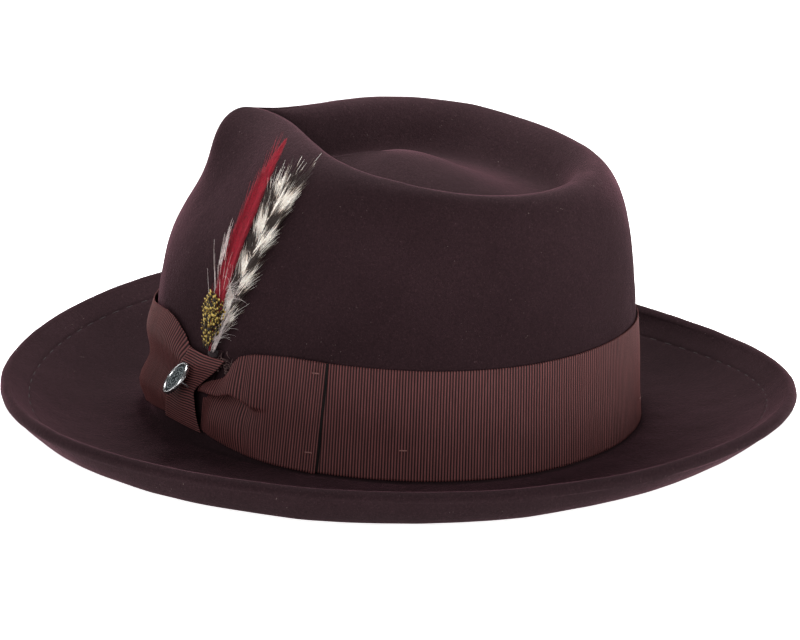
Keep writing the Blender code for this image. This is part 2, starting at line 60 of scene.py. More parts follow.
PINCH, PINCH_SPREAD, PINCH_DEPTH = math.radians(33.7), math.radians(21.3), 0.0277
HOLLOW_Z, HOLLOW_SPREAD, HOLLOW_DEPTH = BREAK + 0.1016, 0.013, 0.0033
NOSE_HOLLOW, NOSE_SPREAD = 0.0039, math.radians(28)
GROOVE_SHIFT, GROOVE_F, GROOVE_B, GROOVE_W = 0.0084, 0.0583, 0.0560, 0.0426
GROOVE_PINCH = 0.0160
GROOVE_WAVE = (BREAK + 0.0999, 0.0067)
DOME_H, DOME_SHIFT = BREAK + 0.1134, -0.0014
WELT = 0.0100  # from the rim's top end to the seam that holds the turned edge
RIB_MM = 1.2  # the ribbon's ribs, in millimetres
BADGE_C = np.array((0.0739, -0.0767, BREAK + 0.0317))
BADGE_N = Vector((0.3514, -0.6752, 0.6486)).normalized()
ROOT = np.array((0.0730, -0.0611, BREAK + 0.0447))  # the feathers' foot
F_AXIS = np.array(Vector((0.02, 0.24, 0.97)).normalized())
F_OUT = np.array(Vector((0.830, -0.530, 0.150)).normalized())
F_SIDE = np.cross(F_AXIS, F_OUT)


# ---- numbers ----
def stack(x, y, z):
    return np.stack(np.broadcast_arrays(x, y, z), -1).astype(float)


def wave(terms, t):
    return sum(c * np.cos(i * t) for i, c in enumerate(terms))


def bez(a, b, c, d, s):
    r = 1 - s
    return a * r**3 + b * (3 * r * r * s) + c * (3 * r * s * s) + d * s**3


def unit(v):
    return v / np.maximum(np.linalg.norm(v, axis=-1, keepdims=True), 1e-12)


def ramp(x, low, high):
    s = np.clip((x - low) / (high - low), 0, 1)
    return s * s * (3 - 2 * s)


def bell(x, centre, spread):
    return np.exp(-0.5 * ((x - centre) / spread) ** 2)


def smoothed(values, size):
    """A running mean over size values that keeps both ends in place."""
    padded = np.pad(values, size // 2, mode="reflect", reflect_type="odd")
    return np.convolve(padded, np.ones(size) / size, "valid")


def travelled(points, axis=0):
    """The length gone at each point, from 0, along one axis of an array of points."""
    steps = np.linalg.norm(np.diff(points, axis=axis), axis=-1)
    return np.concatenate([np.zeros_like(steps.take([0], axis)), np.cumsum(steps, axis=axis)], axis=axis)


def turn(t, other):
    return (t - other + np.pi) % TAU - np.pi


def grain(points, size, seed):
    """Smooth seeded noise about 1 high, with lumps of about that size in metres."""
    rng = np.random.default_rng(seed)
    total = 0
    for _ in range(10):
        direction = rng.normal(size=3)
        direction /= np.linalg.norm(direction)
        wavelength = size * rng.uniform(0.7, 1.6)
        total = total + np.sin(points @ direction * TAU / wavelength + rng.uniform(0, TAU))
    return total / 3.2


# ---- the felt's surface, in zones from the rim to the middle of the dome ----
def oval(t, a, b, shift, egg=0.0):
    return stack(b * np.sin(t) * (1 + egg * np.cos(t)), shift - a * np.cos(t), 0 * t)


def base_at(t):
    return oval(t, CROWN_L, CROWN_W, SHIFT)


def top_at(t):
    return oval(t, CROWN_L - LEAN_L, CROWN_W - LEAN_W, SHIFT + LEAN_BACK)


def pinches(t):
    return bell(turn(t, PINCH), 0, PINCH_SPREAD), bell(turn(t, -PINCH), 0, PINCH_SPREAD)


def pinch_push(t):
    a, b = pinches(t)
    return stack(0.97 * (b - a), 0.25 * (a + b), 0 * t)


def brim_frame(t):
    base = base_at(t)
    reach = oval(t, RIM_L, RIM_W, 0, RIM_EGG) - base
    width = np.linalg.norm(reach, axis=-1)
    return base, unit(reach), width, np.radians(wave(RIM_SLOPE, t))


def brim(t, s):
    base, out, width, slope = brim_frame(t)
    half = RIM_T / 2
    width = width - half * np.sin(slope)
    low = wave(BREAK_WAVE, t)
    rise = wave(RIM_WAVE, t) + half * (np.cos(slope) - 1) - low
    start = np.radians(START_SLOPE + FRONT_DIP * bell(turn(t, 0), 0, DIP_SPREAD))
    near, far = BRIM_NEAR * width, BRIM_FAR * width
    r = bez(0, near * np.cos(start), width - far * np.cos(slope), width, s)
    z = low + bez(0, near * np.sin(start), rise - far * np.sin(slope), rise, s)
    return base + out * r[..., None] + stack(0, 0, z)


def rim(t, k):
    base, out, width, slope = brim_frame(t)
    half = RIM_T / 2
    angle = slope + np.pi / 2 - np.pi * k
    z = wave(RIM_WAVE, t) - half + half * np.sin(angle)
    return base + out * (width + half * np.cos(angle))[..., None] + stack(0, 0, z)


def wall(t, s):
    flat = base_at(t) * (1 - s)[..., None] + top_at(t) * s[..., None]
    return flat + stack(0, 0, wave(BREAK_WAVE, t) + BAND_H * s)


def pinched_oval(t, front, back, width, shift, depth):
    """An oval with its own lengths before and behind its centre, pushed in by the two front pinches."""
    return oval(t, np.where(np.cos(t) > 0, front, back), width, shift) + pinch_push(t) * depth


def crest_at(t):
    return pinched_oval(t, CREST_F, CREST_B, CREST_W, CREST_SHIFT, PINCH_DEPTH)


def groove_at(t):
    return pinched_oval(t, GROOVE_F, GROOVE_B, GROOVE_W, GROOVE_SHIFT, GROOVE_PINCH)


def side(t, s):
    top, crest = top_at(t), crest_at(t)
    low, high = wave(BREAK_WAVE, t) + BAND_H, wave(CREST_WAVE, t)
    near = 0.45 * (high - low)
    lean = (top - base_at(t)) / BAND_H
    inward = unit(crest - top)
    roll = np.minimum(CREST_ROLL, 0.8 * np.linalg.norm(crest - top, axis=-1))
    s3 = s[..., None]
    flat = bez(top, top + lean * near[..., None], crest - inward * roll[..., None], crest, s3)
    z = bez(low, low + near, high, high, s)
    a, b = pinches(t)
    depth = HOLLOW_DEPTH * (a + b) + NOSE_HOLLOW * bell(turn(t, 0), 0, NOSE_SPREAD)
    flat = flat + inward * (depth * bell(z, HOLLOW_Z, HOLLOW_SPREAD))[..., None]
    return stack(flat[..., 0], flat[..., 1], z)


def roll_over(t, s):
    crest, groove = crest_at(t), groove_at(t)
    inward = unit(groove - crest)
    width = np.linalg.norm(groove - crest, axis=-1)
    near = np.minimum(0.010, 0.7 * width)[..., None]
    far = np.minimum(0.008, 0.4 * width)[..., None]
    flat = bez(crest, crest + inward * near, groove - inward * far, groove, s[..., None])
    high, low = wave(CREST_WAVE, t), wave(GROOVE_WAVE, t)
    return stack(flat[..., 0], flat[..., 1], bez(high, high, low, low, s))


def dome(t, s):
    flat = groove_at(t) * (1 - s)[..., None] + np.array((0, DOME_SHIFT, 0)) * s[..., None]
    low = wave(GROOVE_WAVE, t)
    return stack(flat[..., 0], flat[..., 1], bez(low, low, DOME_H, DOME_H, s))


# each zone's function, and which way its outward normal turns
ZONES = {
    "rim": (rim, -1), "brim": (brim, -1),
    "wall": (wall, 1), "side": (side, 1), "roll": (roll_over, 1), "dome": (dome, 1),
}


def surface(zone, t, s):
    """Points and outward normals of one zone at matching arrays of angles and shares."""
    place, direction = ZONES[zone]
    e = 1e-3
    p = place(t, s)
    n = np.cross(place(t + e, s) - place(t - e, s), (place(t, s + e) - place(t, s - e)) * direction)
    return p, unit(n)


def share_at(t, distance):
    """The brim share that lies this far from the rim's top end, measured along the felt."""
    table = np.linspace(1, 0, 90)
    gone = travelled(brim(t[:, None], table[None, :] + 0 * t[:, None]), 1)
    return np.array([np.interp(distance, g, table) for g in gone])


def on_crown(a, z, o):
    """Points beside the band's part of the crown: angle, height over the break and offset out of the felt."""
    low = wave(BREAK_WAVE, a) - BREAK
    s = ((z - low) / BAND_H)[..., None]
    flat = base_at(a) * (1 - s) + top_at(a) * s
    out = unit(stack(np.sin(a) / CROWN_W, -np.cos(a) / CROWN_L, 0 * a))
    flat = flat + out * o[..., None]
    return stack(flat[..., 0], flat[..., 1], BREAK + z)


# ---- making objects ----
def make(name, verts, faces, mat, body, replaces=(), uv=None):
    """A smooth mesh piece that rides on a body. uv has one row per vertex."""
    data = bpy.data.meshes.new(name)
    data.from_pydata(np.asarray(verts).reshape(-1, 3).tolist(), [], faces)
    data.materials.append(mat)
    if uv is not None:
        layer = data.uv_layers.new(name="UVMap")
        index = np.zeros(len(data.loops), np.int32)
        data.loops.foreach_get("vertex_index", index)
        layer.data.foreach_set("uv", np.asarray(uv, np.float32).reshape(-1, 2)[index].ravel())
    data.shade_smooth()
    obj = bpy.data.objects.new(name, data)
    bpy.context.scene.collection.objects.link(obj)
    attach(obj, body)
    if replaces:
        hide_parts(*replaces)
    return obj


def grid_faces(rows, cols, closed=False, start=0):
    """Quads of a grid of vertices. A closed grid's rows are rings."""
    i = np.arange(rows - 1)[:, None]
    j = np.arange(cols if closed else cols - 1)[None, :]
    k = (j + 1) % cols
    quads = np.stack([i * cols + j, i * cols + k, (i + 1) * cols + k, (i + 1) * cols + j], -1)
    return (quads.reshape(-1, 4) + start).tolist()


def solidify(obj, thickness):
    """Cloth of that thickness, on the inner side of the surface."""
    mod = obj.modifiers.new("Thickness", "SOLIDIFY")
    mod.thickness, mod.offset = thickness, -1
    return obj


def tubes(paths, radii, sides=6):
    """Closed tubes along paths (count, points, 3) with radii of shape (count, points)."""
    paths, radii = np.asarray(paths, float), np.asarray(radii, float)
    count, points, _ = paths.shape
    along = unit(np.gradient(paths, axis=1))
    helper = np.where(np.abs(along[:, :1, 2:3]) > 0.9, np.array((1.0, 0, 0)), np.array((0, 0, 1.0)))
    across = unit(np.cross(along, helper))
    up = np.cross(along, across)
    a = np.arange(sides) * TAU / sides
    ring = across[:, :, None] * np.cos(a)[:, None] + up[:, :, None] * np.sin(a)[:, None]
    verts = paths[:, :, None] + ring * radii[:, :, None, None]
    faces, per = [], points * sides
    one = grid_faces(points, sides, closed=True)
    caps = [list(range(sides))[::-1], [per - sides + k for k in range(sides)]]
    template = [f[::-1] for f in one] + [c[::-1] for c in caps]
    for c in range(count):
        faces += [[v + c * per for v in f] for f in template]
    return verts.reshape(-1, 3), faces


# ---- materials ----
def material(name, colour, rough, metallic=0.0, **sockets):
    """A material, its tree and its shader. A socket's name has underscores for spaces."""
    mat = bpy.data.materials.new(name)
    mat.use_nodes = True
    shader = mat.node_tree.nodes["Principled BSDF"]
    shader.inputs["Base Color"].default_value = (*colour, 1)
    shader.inputs["Roughness"].default_value = rough
    shader.inputs["Metallic"].default_value = metallic
    for key, value in sockets.items():
        shader.inputs[key.replace("_", " ")].default_value = value
    return mat, mat.node_tree, shader


def add(tree, kind, links=(), **values):
    """A node with its inputs and settings from values, and links to its named sockets."""
    node = tree.nodes.new(kind)
    for key, value in values.items():
        socket = key.replace("_", " ")
        if socket in node.inputs:
            node.inputs[socket].default_value = value
        else:
            setattr(node, key, value)
    for socket, source in dict(links).items():
        tree.links.new(source, node.inputs[socket])
    return node


def coords(tree, kind="Object", scale=(1, 1, 1)):
    source = add(tree, "ShaderNodeTexCoord").outputs[kind]
    return add(tree, "ShaderNodeMapping", {"Vector": source}, Scale=scale).outputs["Vector"]


def part_of(tree, vector, axis):
    return add(tree, "ShaderNodeSeparateXYZ", {"Vector": vector}).outputs[axis]


def noise(tree, vector, scale, detail=3.0, distortion=0.0):
    values = dict(Scale=scale, Detail=detail, Distortion=distortion)
    return add(tree, "ShaderNodeTexNoise", {"Vector": vector}, **values).outputs["Fac"]


def colours(tree, fac, *stops):
    """A colour ramp of (place, colour) stops."""
    node = add(tree, "ShaderNodeValToRGB", {"Fac": fac})
    elements = node.color_ramp.elements
    while len(elements) < len(stops):
        elements.new(0.5)
    for element, (place, colour) in zip(elements, stops):
        element.position = place
        element.color = (*colour, 1)
    return node.outputs["Color"]


def greys(tree, fac, *stops):
    """A ramp of (place, grey) stops."""
    return colours(tree, fac, *((place, (value, value, value)) for place, value in stops))


def maths(tree, operation, a, b=0.0):
    node = add(tree, "ShaderNodeMath", operation=operation)
    for socket, value in zip(node.inputs, (a, b)):
        if isinstance(value, (int, float)):
            socket.default_value = value
        else:
            tree.links.new(value, socket)
    return node.outputs[0]


def times(tree, a, b):
    return maths(tree, "MULTIPLY", a, b)


def mixed(tree, fac, a, b, blend="MIX"):
    node = tree.nodes.new("ShaderNodeMix")
    node.data_type, node.blend_type = "RGBA", blend
    for socket, value in ((node.inputs[0], fac), (node.inputs[6], a), (node.inputs[7], b)):
        if isinstance(value, (int, float)):
            socket.default_value = value
        elif isinstance(value, tuple):
            socket.default_value = (*value, 1)
        else:
            tree.links.new(value, socket)
    return node.outputs[2]


def shaded(tree, fac, colour, tone):
    return mixed(tree, fac, colour, tone, "MULTIPLY")


def feed(tree, source, shader, socket="Base Color"):
    tree.links.new(source, shader.inputs[socket])


def bump(tree, shader, height, strength, distance):
    node = add(tree, "ShaderNodeBump", {"Height": height}, Strength=strength, Distance=distance)
    feed(tree, node.outputs["Normal"], shader, "Normal")


def felt_material():
    """Brushed felt with flecks and a little lint, and painted shade that darkens it towards the table."""
    mat, tree, shader = material(
        "felt_brown", (0.03, 0.018, 0.02), 0.95, Sheen_Weight=0.22, Sheen_Roughness=0.28,
        Sheen_Tint=(0.86, 0.36, 0.47, 1), Specular_IOR_Level=0.08,
    )
    place = coords(tree)
    fibre = noise(tree, place, 1300, 6, 1.2)
    lump = noise(tree, place, 380, 3, 0.6)
    low, high = (0.0205, 0.0098, 0.0118), (0.0265, 0.0130, 0.0155)
    colour = colours(tree, noise(tree, place, 26, 4), (0.3, low), (0.7, high))
    colour = shaded(tree, 0.9, colour, greys(tree, fibre, (0.30, 0.62), (0.55, 1.0), (0.72, 1.5)))
    fleck = greys(tree, noise(tree, place, 900, 2, 2.0), (0.66, 0.0), (0.76, 0.6))
    colour = mixed(tree, fleck, colour, (0.070, 0.040, 0.045))
    lint = greys(tree, noise(tree, place, 330, 1, 3.0), (0.795, 0.0), (0.81, 1.0))
    colour = mixed(tree, lint, colour, (0.16, 0.12, 0.11))
    # painted shade: the colour is multiplied by 0.66 near the table, rising to full at about 27 mm up
    full_height = 0.03
    level = times(tree, part_of(tree, place, "Z"), 1 / full_height)
    feed(tree, shaded(tree, 1.0, colour, greys(tree, level, (0.10, 0.66), (0.90, 1.0))), shader)
    height = maths(tree, "ADD", times(tree, fibre, 0.7), times(tree, lump, 0.6))
    bump(tree, shader, height, 0.55, 0.0005)
    return mat


def grosgrain_material():
    """UV is in millimetres: x along the ribbon, across its ribs, and y across the ribbon."""
    mat, tree, shader = material(
        "grosgrain_ribbon", (0.05, 0.021, 0.02), 0.62, Sheen_Weight=0.06, Sheen_Roughness=0.35,
        Sheen_Tint=(0.9, 0.35, 0.32, 1), Specular_IOR_Level=0.2,
    )
    phase = times(tree, part_of(tree, coords(tree, "UV"), "X"), math.pi / RIB_MM)
    rib = maths(tree, "ABSOLUTE", maths(tree, "SINE", phase))
    streak = noise(tree, coords(tree, "UV", (1.1, 0.06, 1)), 1.0, 2)
    thread = noise(tree, coords(tree, "UV", (0.8, 7.0, 1)), 1.0, 3)
    cross = noise(tree, coords(tree, "UV", (9.0, 3.0, 1)), 1.0, 3)
    # painted light and shade along the ribs: near-black painted shade in the valleys, and lighter colour on
    # the crests as their lit tops
    valley_shade, flank, crest = (0.004, 0.0015, 0.0016), (0.032, 0.0100, 0.0104), (0.150, 0.0480, 0.0470)
    colour = colours(tree, rib, (0.15, valley_shade), (0.60, flank), (0.98, crest))
    colour = shaded(tree, 0.9, colour, greys(tree, streak, (0.25, 0.80), (0.75, 1.22)))
    feed(tree, shaded(tree, 0.8, colour, greys(tree, thread, (0.3, 0.7), (0.7, 1.3))), shader)
    bump(tree, shader, maths(tree, "ADD", thread, times(tree, cross, 0.5)), 0.35, 0.0002)
    return mat


def thread_material(name, colour, rough=0.65):
    mat, tree, shader = material(name, colour, rough, Sheen_Weight=0.08)
    twist = noise(tree, coords(tree), 2600, 2, 0.5)
    low, high = tuple(c * 0.6 for c in colour), tuple(min(1, c * 1.5) for c in colour)
    feed(tree, colours(tree, twist, (0.35, low), (0.65, high)), shader)
    bump(tree, shader, twist, 0.5, 0.0001)
    return mat


def metal_material():
    mat, tree, shader = material("polished_metal", (0.62, 0.62, 0.63), 0.22, 1.0)
    place = coords(tree)
    wear = noise(tree, place, 900, 5)
    feed(tree, greys(tree, wear, (0.3, 0.16), (0.75, 0.36)), shader, "Roughness")
    tarnish = noise(tree, place, 300, 3)
    feed(tree, colours(tree, tarnish, (0.3, (0.50, 0.50, 0.51)), (0.7, (0.70, 0.70, 0.71))), shader)
    bump(tree, shader, wear, 0.05, 0.00003)
    return mat


def enamel_material():
    """UV x holds the relief's height: low parts are dark enamel, and high parts worn and paler."""
    mat, tree, shader = material(
        "badge_enamel_relief", (0.06, 0.08, 0.085), 0.5, Specular_IOR_Level=0.12
    )
    height = part_of(tree, add(tree, "ShaderNodeTexCoord").outputs["UV"], "X")
    speck = noise(tree, coords(tree), 1500, 3)
    raised = greys(tree, maths(tree, "ADD", height, times(tree, speck, 0.3)), (0.45, 0), (0.8, 1))
    feed(tree, mixed(tree, raised, (0.005, 0.008, 0.010), (0.150, 0.170, 0.178)), shader)
    bump(tree, shader, speck, 0.2, 0.00005)
    return mat


def feather_material(name, stops, period=None, rough=0.6, sheen=0.1):
    """UV x runs along the feather in millimetres. With a period the stops are bars, and else flecks."""
    mat, tree, shader = material(name, stops[0][1], rough, Sheen_Weight=sheen, Sheen_Roughness=0.3)
    if period:
        bar = maths(tree, "SINE", times(tree, part_of(tree, coords(tree, "UV"), "X"), TAU / period))
        ragged = noise(tree, coords(tree, "UV", (0.30, 0.30, 1)), 1.0, 3)
        source = maths(tree, "ADD", times(tree, bar, 0.42), ragged)
    else:
        source = noise(tree, coords(tree, "UV", (0.5, 0.5, 1)), 1.0, 3, 0.5)
    strand = greys(tree, noise(tree, coords(tree), 1500, 2), (0.3, 0.75), (0.7, 1.25))
    feed(tree, shaded(tree, 1.0, colours(tree, source, *stops), strand), shader)
    return mat


def gold_material():
    """UV y runs from 0 at a plume's base to 1 at its tip: black base, gold tip."""
    mat, tree, shader = material("gold_scales", (0.4, 0.25, 0.03), 0.45, 0.1, Specular_IOR_Level=0.25)
    along = part_of(tree, add(tree, "ShaderNodeTexCoord").outputs["UV"], "Y")
    ragged = maths(tree, "ADD", along, times(tree, noise(tree, coords(tree), 1400, 3), 0.7))
    top = 1.3
    stops = (
        (0.86, (0.010, 0.006, 0.004)), (1.02, (0.09, 0.045, 0.006)),
        (1.16, (0.25, 0.155, 0.022)), (1.29, (0.62, 0.46, 0.13)),
    )
    stops = ((place / top, colour) for place, colour in stops)
    feed(tree, colours(tree, times(tree, ragged, 1 / top), *stops), shader)
    return mat


def leather_material():
    mat, tree, shader = material(
        "sweatband_leather", (0.08, 0.034, 0.02), 0.42, Coat_Weight=0.15, Coat_Roughness=0.3
    )
    place = coords(tree)
    cells = add(tree, "ShaderNodeTexVoronoi", {"Vector": place}, Scale=900, feature="DISTANCE_TO_EDGE")
    crease = greys(tree, cells.outputs["Distance"], (0.0, 0.0), (0.14, 1.0))
    low, high = (0.060, 0.025, 0.014), (0.105, 0.047, 0.026)
    tone = colours(tree, noise(tree, place, 60, 4), (0.3, low), (0.7, high))
    feed(tree, shaded(tree, 0.45, tone, crease), shader)
    rough = greys(tree, noise(tree, place, 240, 3), (0.3, 0.36), (0.7, 0.52))
    feed(tree, rough, shader, "Roughness")
    bump(tree, shader, crease, 0.35, 0.00015)
    return mat


def satin_material(name, colour):
    mat, tree, shader = material(name, colour, 0.34, Sheen_Weight=0.3, Anisotropic=0.5)
    place = coords(tree)
    weave = noise(tree, coords(tree, "Object", (1, 1, 0.12)), 1500, 2, 0.3)
    dark, light = tuple(c * 0.8 for c in colour), tuple(min(1, c * 1.25) for c in colour)
    tone = colours(tree, noise(tree, place, 90, 3), (0.3, dark), (0.7, light))
    feed(tree, shaded(tree, 0.35, tone, weave), shader)
    bump(tree, shader, maths(tree, "ADD", weave, noise(tree, place, 2200, 2)), 0.2, 0.0001)
    return mat


BARS = (
    (0.40, (0.026, 0.012, 0.008)), (0.52, (0.090, 0.047, 0.032)),
    (0.60, (0.66, 0.53, 0.43)), (0.76, (0.99, 0.94, 0.87)),
)
REDS = ((0.3, (0.17, 0.0008, 0.009)), (0.7, (0.37, 0.0014, 0.021)))
WHITES = ((0.3, (0.62, 0.44, 0.42)), (0.7, (0.98, 0.94, 0.92)))
BAR_MM = 17.0
M = {
    "felt": felt_material(),
    "ribbon": grosgrain_material(),
    "thread": thread_material("sewing_thread", (0.021, 0.011, 0.013), 0.9),
    "ribbon_thread": thread_material("ribbon_thread", (0.17, 0.066, 0.060)),
    "fray": thread_material("frayed_fibre", (0.13, 0.07, 0.065)),
    "metal": metal_material(),
    "enamel": enamel_material(),
    "barred": feather_material("barred_feather", BARS, BAR_MM),
    "red": feather_material("red_feather", REDS, None, 0.75, 0.0),
    "white": feather_material("white_feather", WHITES, None, 0.55, 0.2),
    "gold": gold_material(),
    "leather": leather_material(),
    "satin": satin_material("lining_satin", (0.055, 0.028, 0.026)),
    "label": satin_material("label_cloth", (0.60, 0.54, 0.45)),
    "reed": thread_material("reed_cord", (0.09, 0.05, 0.035)),
}


# ---- the felt body ----
def felt_rows():
    """(zone, shares per column, depth) from the rim's middle over the crown, then the same back inside."""
    t = np.arange(384) * TAU / 384
    turned_mm = (0.3, 0.8, 1.6, 2.6, 3.8, 5.2, 6.6, 7.8, 8.7)
    seam_mm = (9.2, 9.6, 9.85, 10.1, 10.4, 10.8, 11.4, 12.4, 13.8)
    near = np.array(turned_mm + seam_mm) / 1000
    s_near = share_at(t, near)
    rest = np.linspace(0, 1, 30)[1:]
    s_rest = s_near[:, -1:] * (1 - rest) + 0.012 * rest
    outer = [("rim", np.full_like(t, k), None) for k in (0.5, 0.4, 0.3, 0.2, 0.1, 0.0)]
    outer += [("brim", s_near[:, i], near[i]) for i in range(len(near))]
    outer += [("brim", s_rest[:, i], 0.02) for i in range(len(rest))]
    outer += [("wall", np.full_like(t, s), None) for s in (0.012, 0.05, 0.3, 0.6, 0.85, 1.0)]
    outer += [("side", np.full_like(t, s), None) for s in np.linspace(0, 1, 46)[1:]]
    outer += [("roll", np.full_like(t, s), None) for s in np.linspace(0, 1, 28)[1:]]
    outer += [("dome", np.full_like(t, s), None) for s in np.linspace(0, 0.985, 30)[1:]]
    return t, outer


def seam(t, distance):
    """How far the welt's seam pulls the felt in, deeper at each stitch."""
    stitch = 0.5 + 0.5 * np.cos(t * 100)
    groove = 0.00022 + 0.00008 * stitch
    turned = 1 - ramp(distance, WELT - 0.0016, WELT + 0.0004)
    return groove * bell(distance, WELT, 0.00042) - 0.0003 * turned


def make_felt():
    t, rows = felt_rows()
    outside, inside = [], []
    for zone, s, distance in rows:
        p, n = surface(zone, t, s)
        lumps = 0.00009 * grain(p, 0.045, 3) + 0.00006 * grain(p, 0.014, 4)
        sink = seam(t, distance) if distance is not None else (-0.0004 if zone == "rim" else 0)
        outside.append(p + n * (lumps - sink)[:, None])
        if zone == "rim":
            q, m = surface("rim", t, 1 - s)
            inside.append(q + m * (lumps + 0.0002)[:, None])
        else:
            depth = FELT
            if distance is not None:
                depth = RIM_T - (RIM_T - FELT) * ramp(distance, WELT - 0.0009, WELT - 0.0001)
            q = p - n * depth
            inside.append(q + n * lumps[:, None])
    outside, inside = np.array(outside), np.array(inside)
    inside[..., 2] = np.maximum(inside[..., 2], 0.0)
    fine = ("rim", "brim", "wall")
    keep = [i for i, (zone, _, _) in enumerate(rows) if i > 0 and (zone in fine or i % 3 == 0)]
    rings = np.concatenate([inside[keep][::-1], outside])
    count = len(rings)
    verts = rings.reshape(-1, 3)
    tops = np.array([outside[-1].mean(0), inside[keep[-1]].mean(0)])
    faces = grid_faces(count, len(t), closed=True)
    n = len(t)
    faces += [[(count - 1) * n + j, (count - 1) * n + (j + 1) % n, count * n] for j in range(n)]
    faces += [[(j + 1) % n, j, count * n + 1] for j in range(n)]
    make("felt_shell", np.concatenate([verts, tops]), faces, M["felt"], "hat", ["felt_body"])


def dashes(count, reach, points):
    """A ring of stitches: each point's angle, and its arch from 0 at a stitch's ends to 1 in its middle."""
    steps = np.linspace(-reach, reach, points)
    angles = (np.arange(count)[:, None] + steps) * TAU / count
    return angles.ravel(), np.tile(np.cos(steps / reach * np.pi / 2), count)


def sew(name, points, count, reach, radius, sides):
    """One tapered thread for each stitch, through its share of the points."""
    paths = points.reshape(count, -1, 3)
    steps = np.linspace(-reach, reach, paths.shape[1])
    taper = np.cos(steps / (reach + 0.01) * np.pi / 2) ** 0.4
    verts, faces = tubes(paths, np.tile(radius * taper, (count, 1)), sides)
    make(name, verts, faces, M["thread"], "hat")


def stitch_row(name, depth, lift):
    """Thread dashes that lie in the welt's seam, all round the brim."""
    count, reach = 100, 0.30
    t, arch = dashes(count, reach, 7)
    p, n = surface("brim", t, share_at(t, np.array((WELT,)))[:, 0])
    sew(name, p + n * (lift + 0.00035 * arch - depth)[:, None], count, reach, 0.00018, 6)


make_felt()
stitch_row("welt_stitches_top", 0.0, -0.00050)
stitch_row("welt_stitches_under", FELT, -0.0004)


# ---- grosgrain ----
RIB_HEIGHT = 0.00036


def grosgrain(name, p, u, v, node, picot=0.00045):
    """A ribbed ribbon from a grid p (rows across the ribbon, columns along it), with ribs across its width.

    u and v are the ribbon's own lengths in metres for each point."""
    du, dv = np.gradient(p, axis=1), np.gradient(p, axis=0)
    n = unit(np.cross(du, dv))
    crest = np.abs(np.sin(np.pi * u * 1000 / RIB_MM)) ** 0.8
    q = p + n * (RIB_HEIGHT * (crest - 0.5))[..., None]
    edge = unit(dv) * (picot * (crest - 0.3))[..., None]
    q[0] -= edge[0]
    q[-1] += edge[-1]
    faces = grid_faces(*p.shape[:2])
    uv = np.stack([u, v], -1) * 1000
    obj = make(name, q, faces, M["ribbon"], "hat", [node], uv)
    return solidify(obj, 0.0005)


def lengths(p):
    """Lengths along the middle row of a grid, and across each column."""
    return np.broadcast_to(travelled(p[len(p) // 2]), p.shape[:2]), travelled(p)


def height_of(table, degrees):
    """An edge's height in metres at some angles, from its (degrees, millimetres) points."""
    at, height = np.array(table).T
    return np.interp(degrees, at, height / 1000)


BAND_START, BAND_END = 45.0, -297.0  # degrees round the crown, both under the bow
BAND_LOW = (
    (-297, 7.5), (-292, 5.5), (-286, 3.6), (-278, 1.1), (-30, 1.1),
    (5, 1.5), (15, 2.5), (24.5, 6.0), (35, 8.0), (45, 9.2),
)
BAND_HIGH = (
    (-297, 40.0), (-292, 43.0), (-284, 44.6), (-275, 45.9), (6, 46.0), (14, 46.7), (21, 47.9),
    (28, 49.3), (33, 49.9), (37, 49.3), (40.5, 47.4), (44, 43.8), (46, 40.0), (52, 37.5),
)


def make_band():
    """The ribbon round the crown. Its front end is gathered into two soft pleats, as the front leaf."""
    share = np.linspace(1, 0, 2560)[None, :]
    v = np.concatenate([[0, 0.012], np.linspace(0.05, 0.95, 19), [0.988, 1]])[:, None]
    degrees = BAND_START + (BAND_END - BAND_START) * share
    gather = ramp(degrees, 13.0, BAND_START)
    lean = degrees + 7.0 * gather * v
    a = np.radians(lean)
    edge = wave(BREAK_WAVE, a) - BREAK
    low, high = height_of(BAND_LOW, degrees), height_of(BAND_HIGH, lean)
    lower = 0.0040 * ramp(degrees, -24.0, 13.0) * bell(v, 0.20, 0.115)
    upper = 0.0036 * ramp(degrees, -12.0, 26.0) * bell(v, 0.76, 0.15)
    lift = 0.0009 + 0.0004 * gather + lower + upper
    p = on_crown(a, edge + low + (high - low) * v, lift)
    p = p + 0.00012 * grain(p, 0.03, 8)[..., None] * unit(p * (1, 1, 0))
    band = grosgrain("ribbon_band_cloth", p, *lengths(p), "ribbon_band")


# the rear leaf's edges, from the knot to the free end: share, degrees, millimetres
LEAF_TOP = (
    (0, 52.0, 27.8), (0.10, 56.0, 31.2), (0.20, 60.2, 34.2), (0.26, 61.7, 37.2), (0.32, 62.6, 41.2),
    (0.38, 64.2, 44.4), (0.48, 67.2, 45.9), (0.75, 77.0, 46.9), (1.0, 85.2, 46.4),
)
LEAF_BOTTOM = (
    (0, 52.0, 8.8), (0.25, 59.8, 5.8), (0.48, 67.4, 3.4), (0.70, 74.3, 2.1), (1.0, 84.0, 1.0),
)


def edge_curve(table, s):
    share, degrees, height = np.array(table).T
    degrees, height = (smoothed(np.interp(s, share, c), 7)[None, :] for c in (degrees, height))
    return degrees, height / 1000


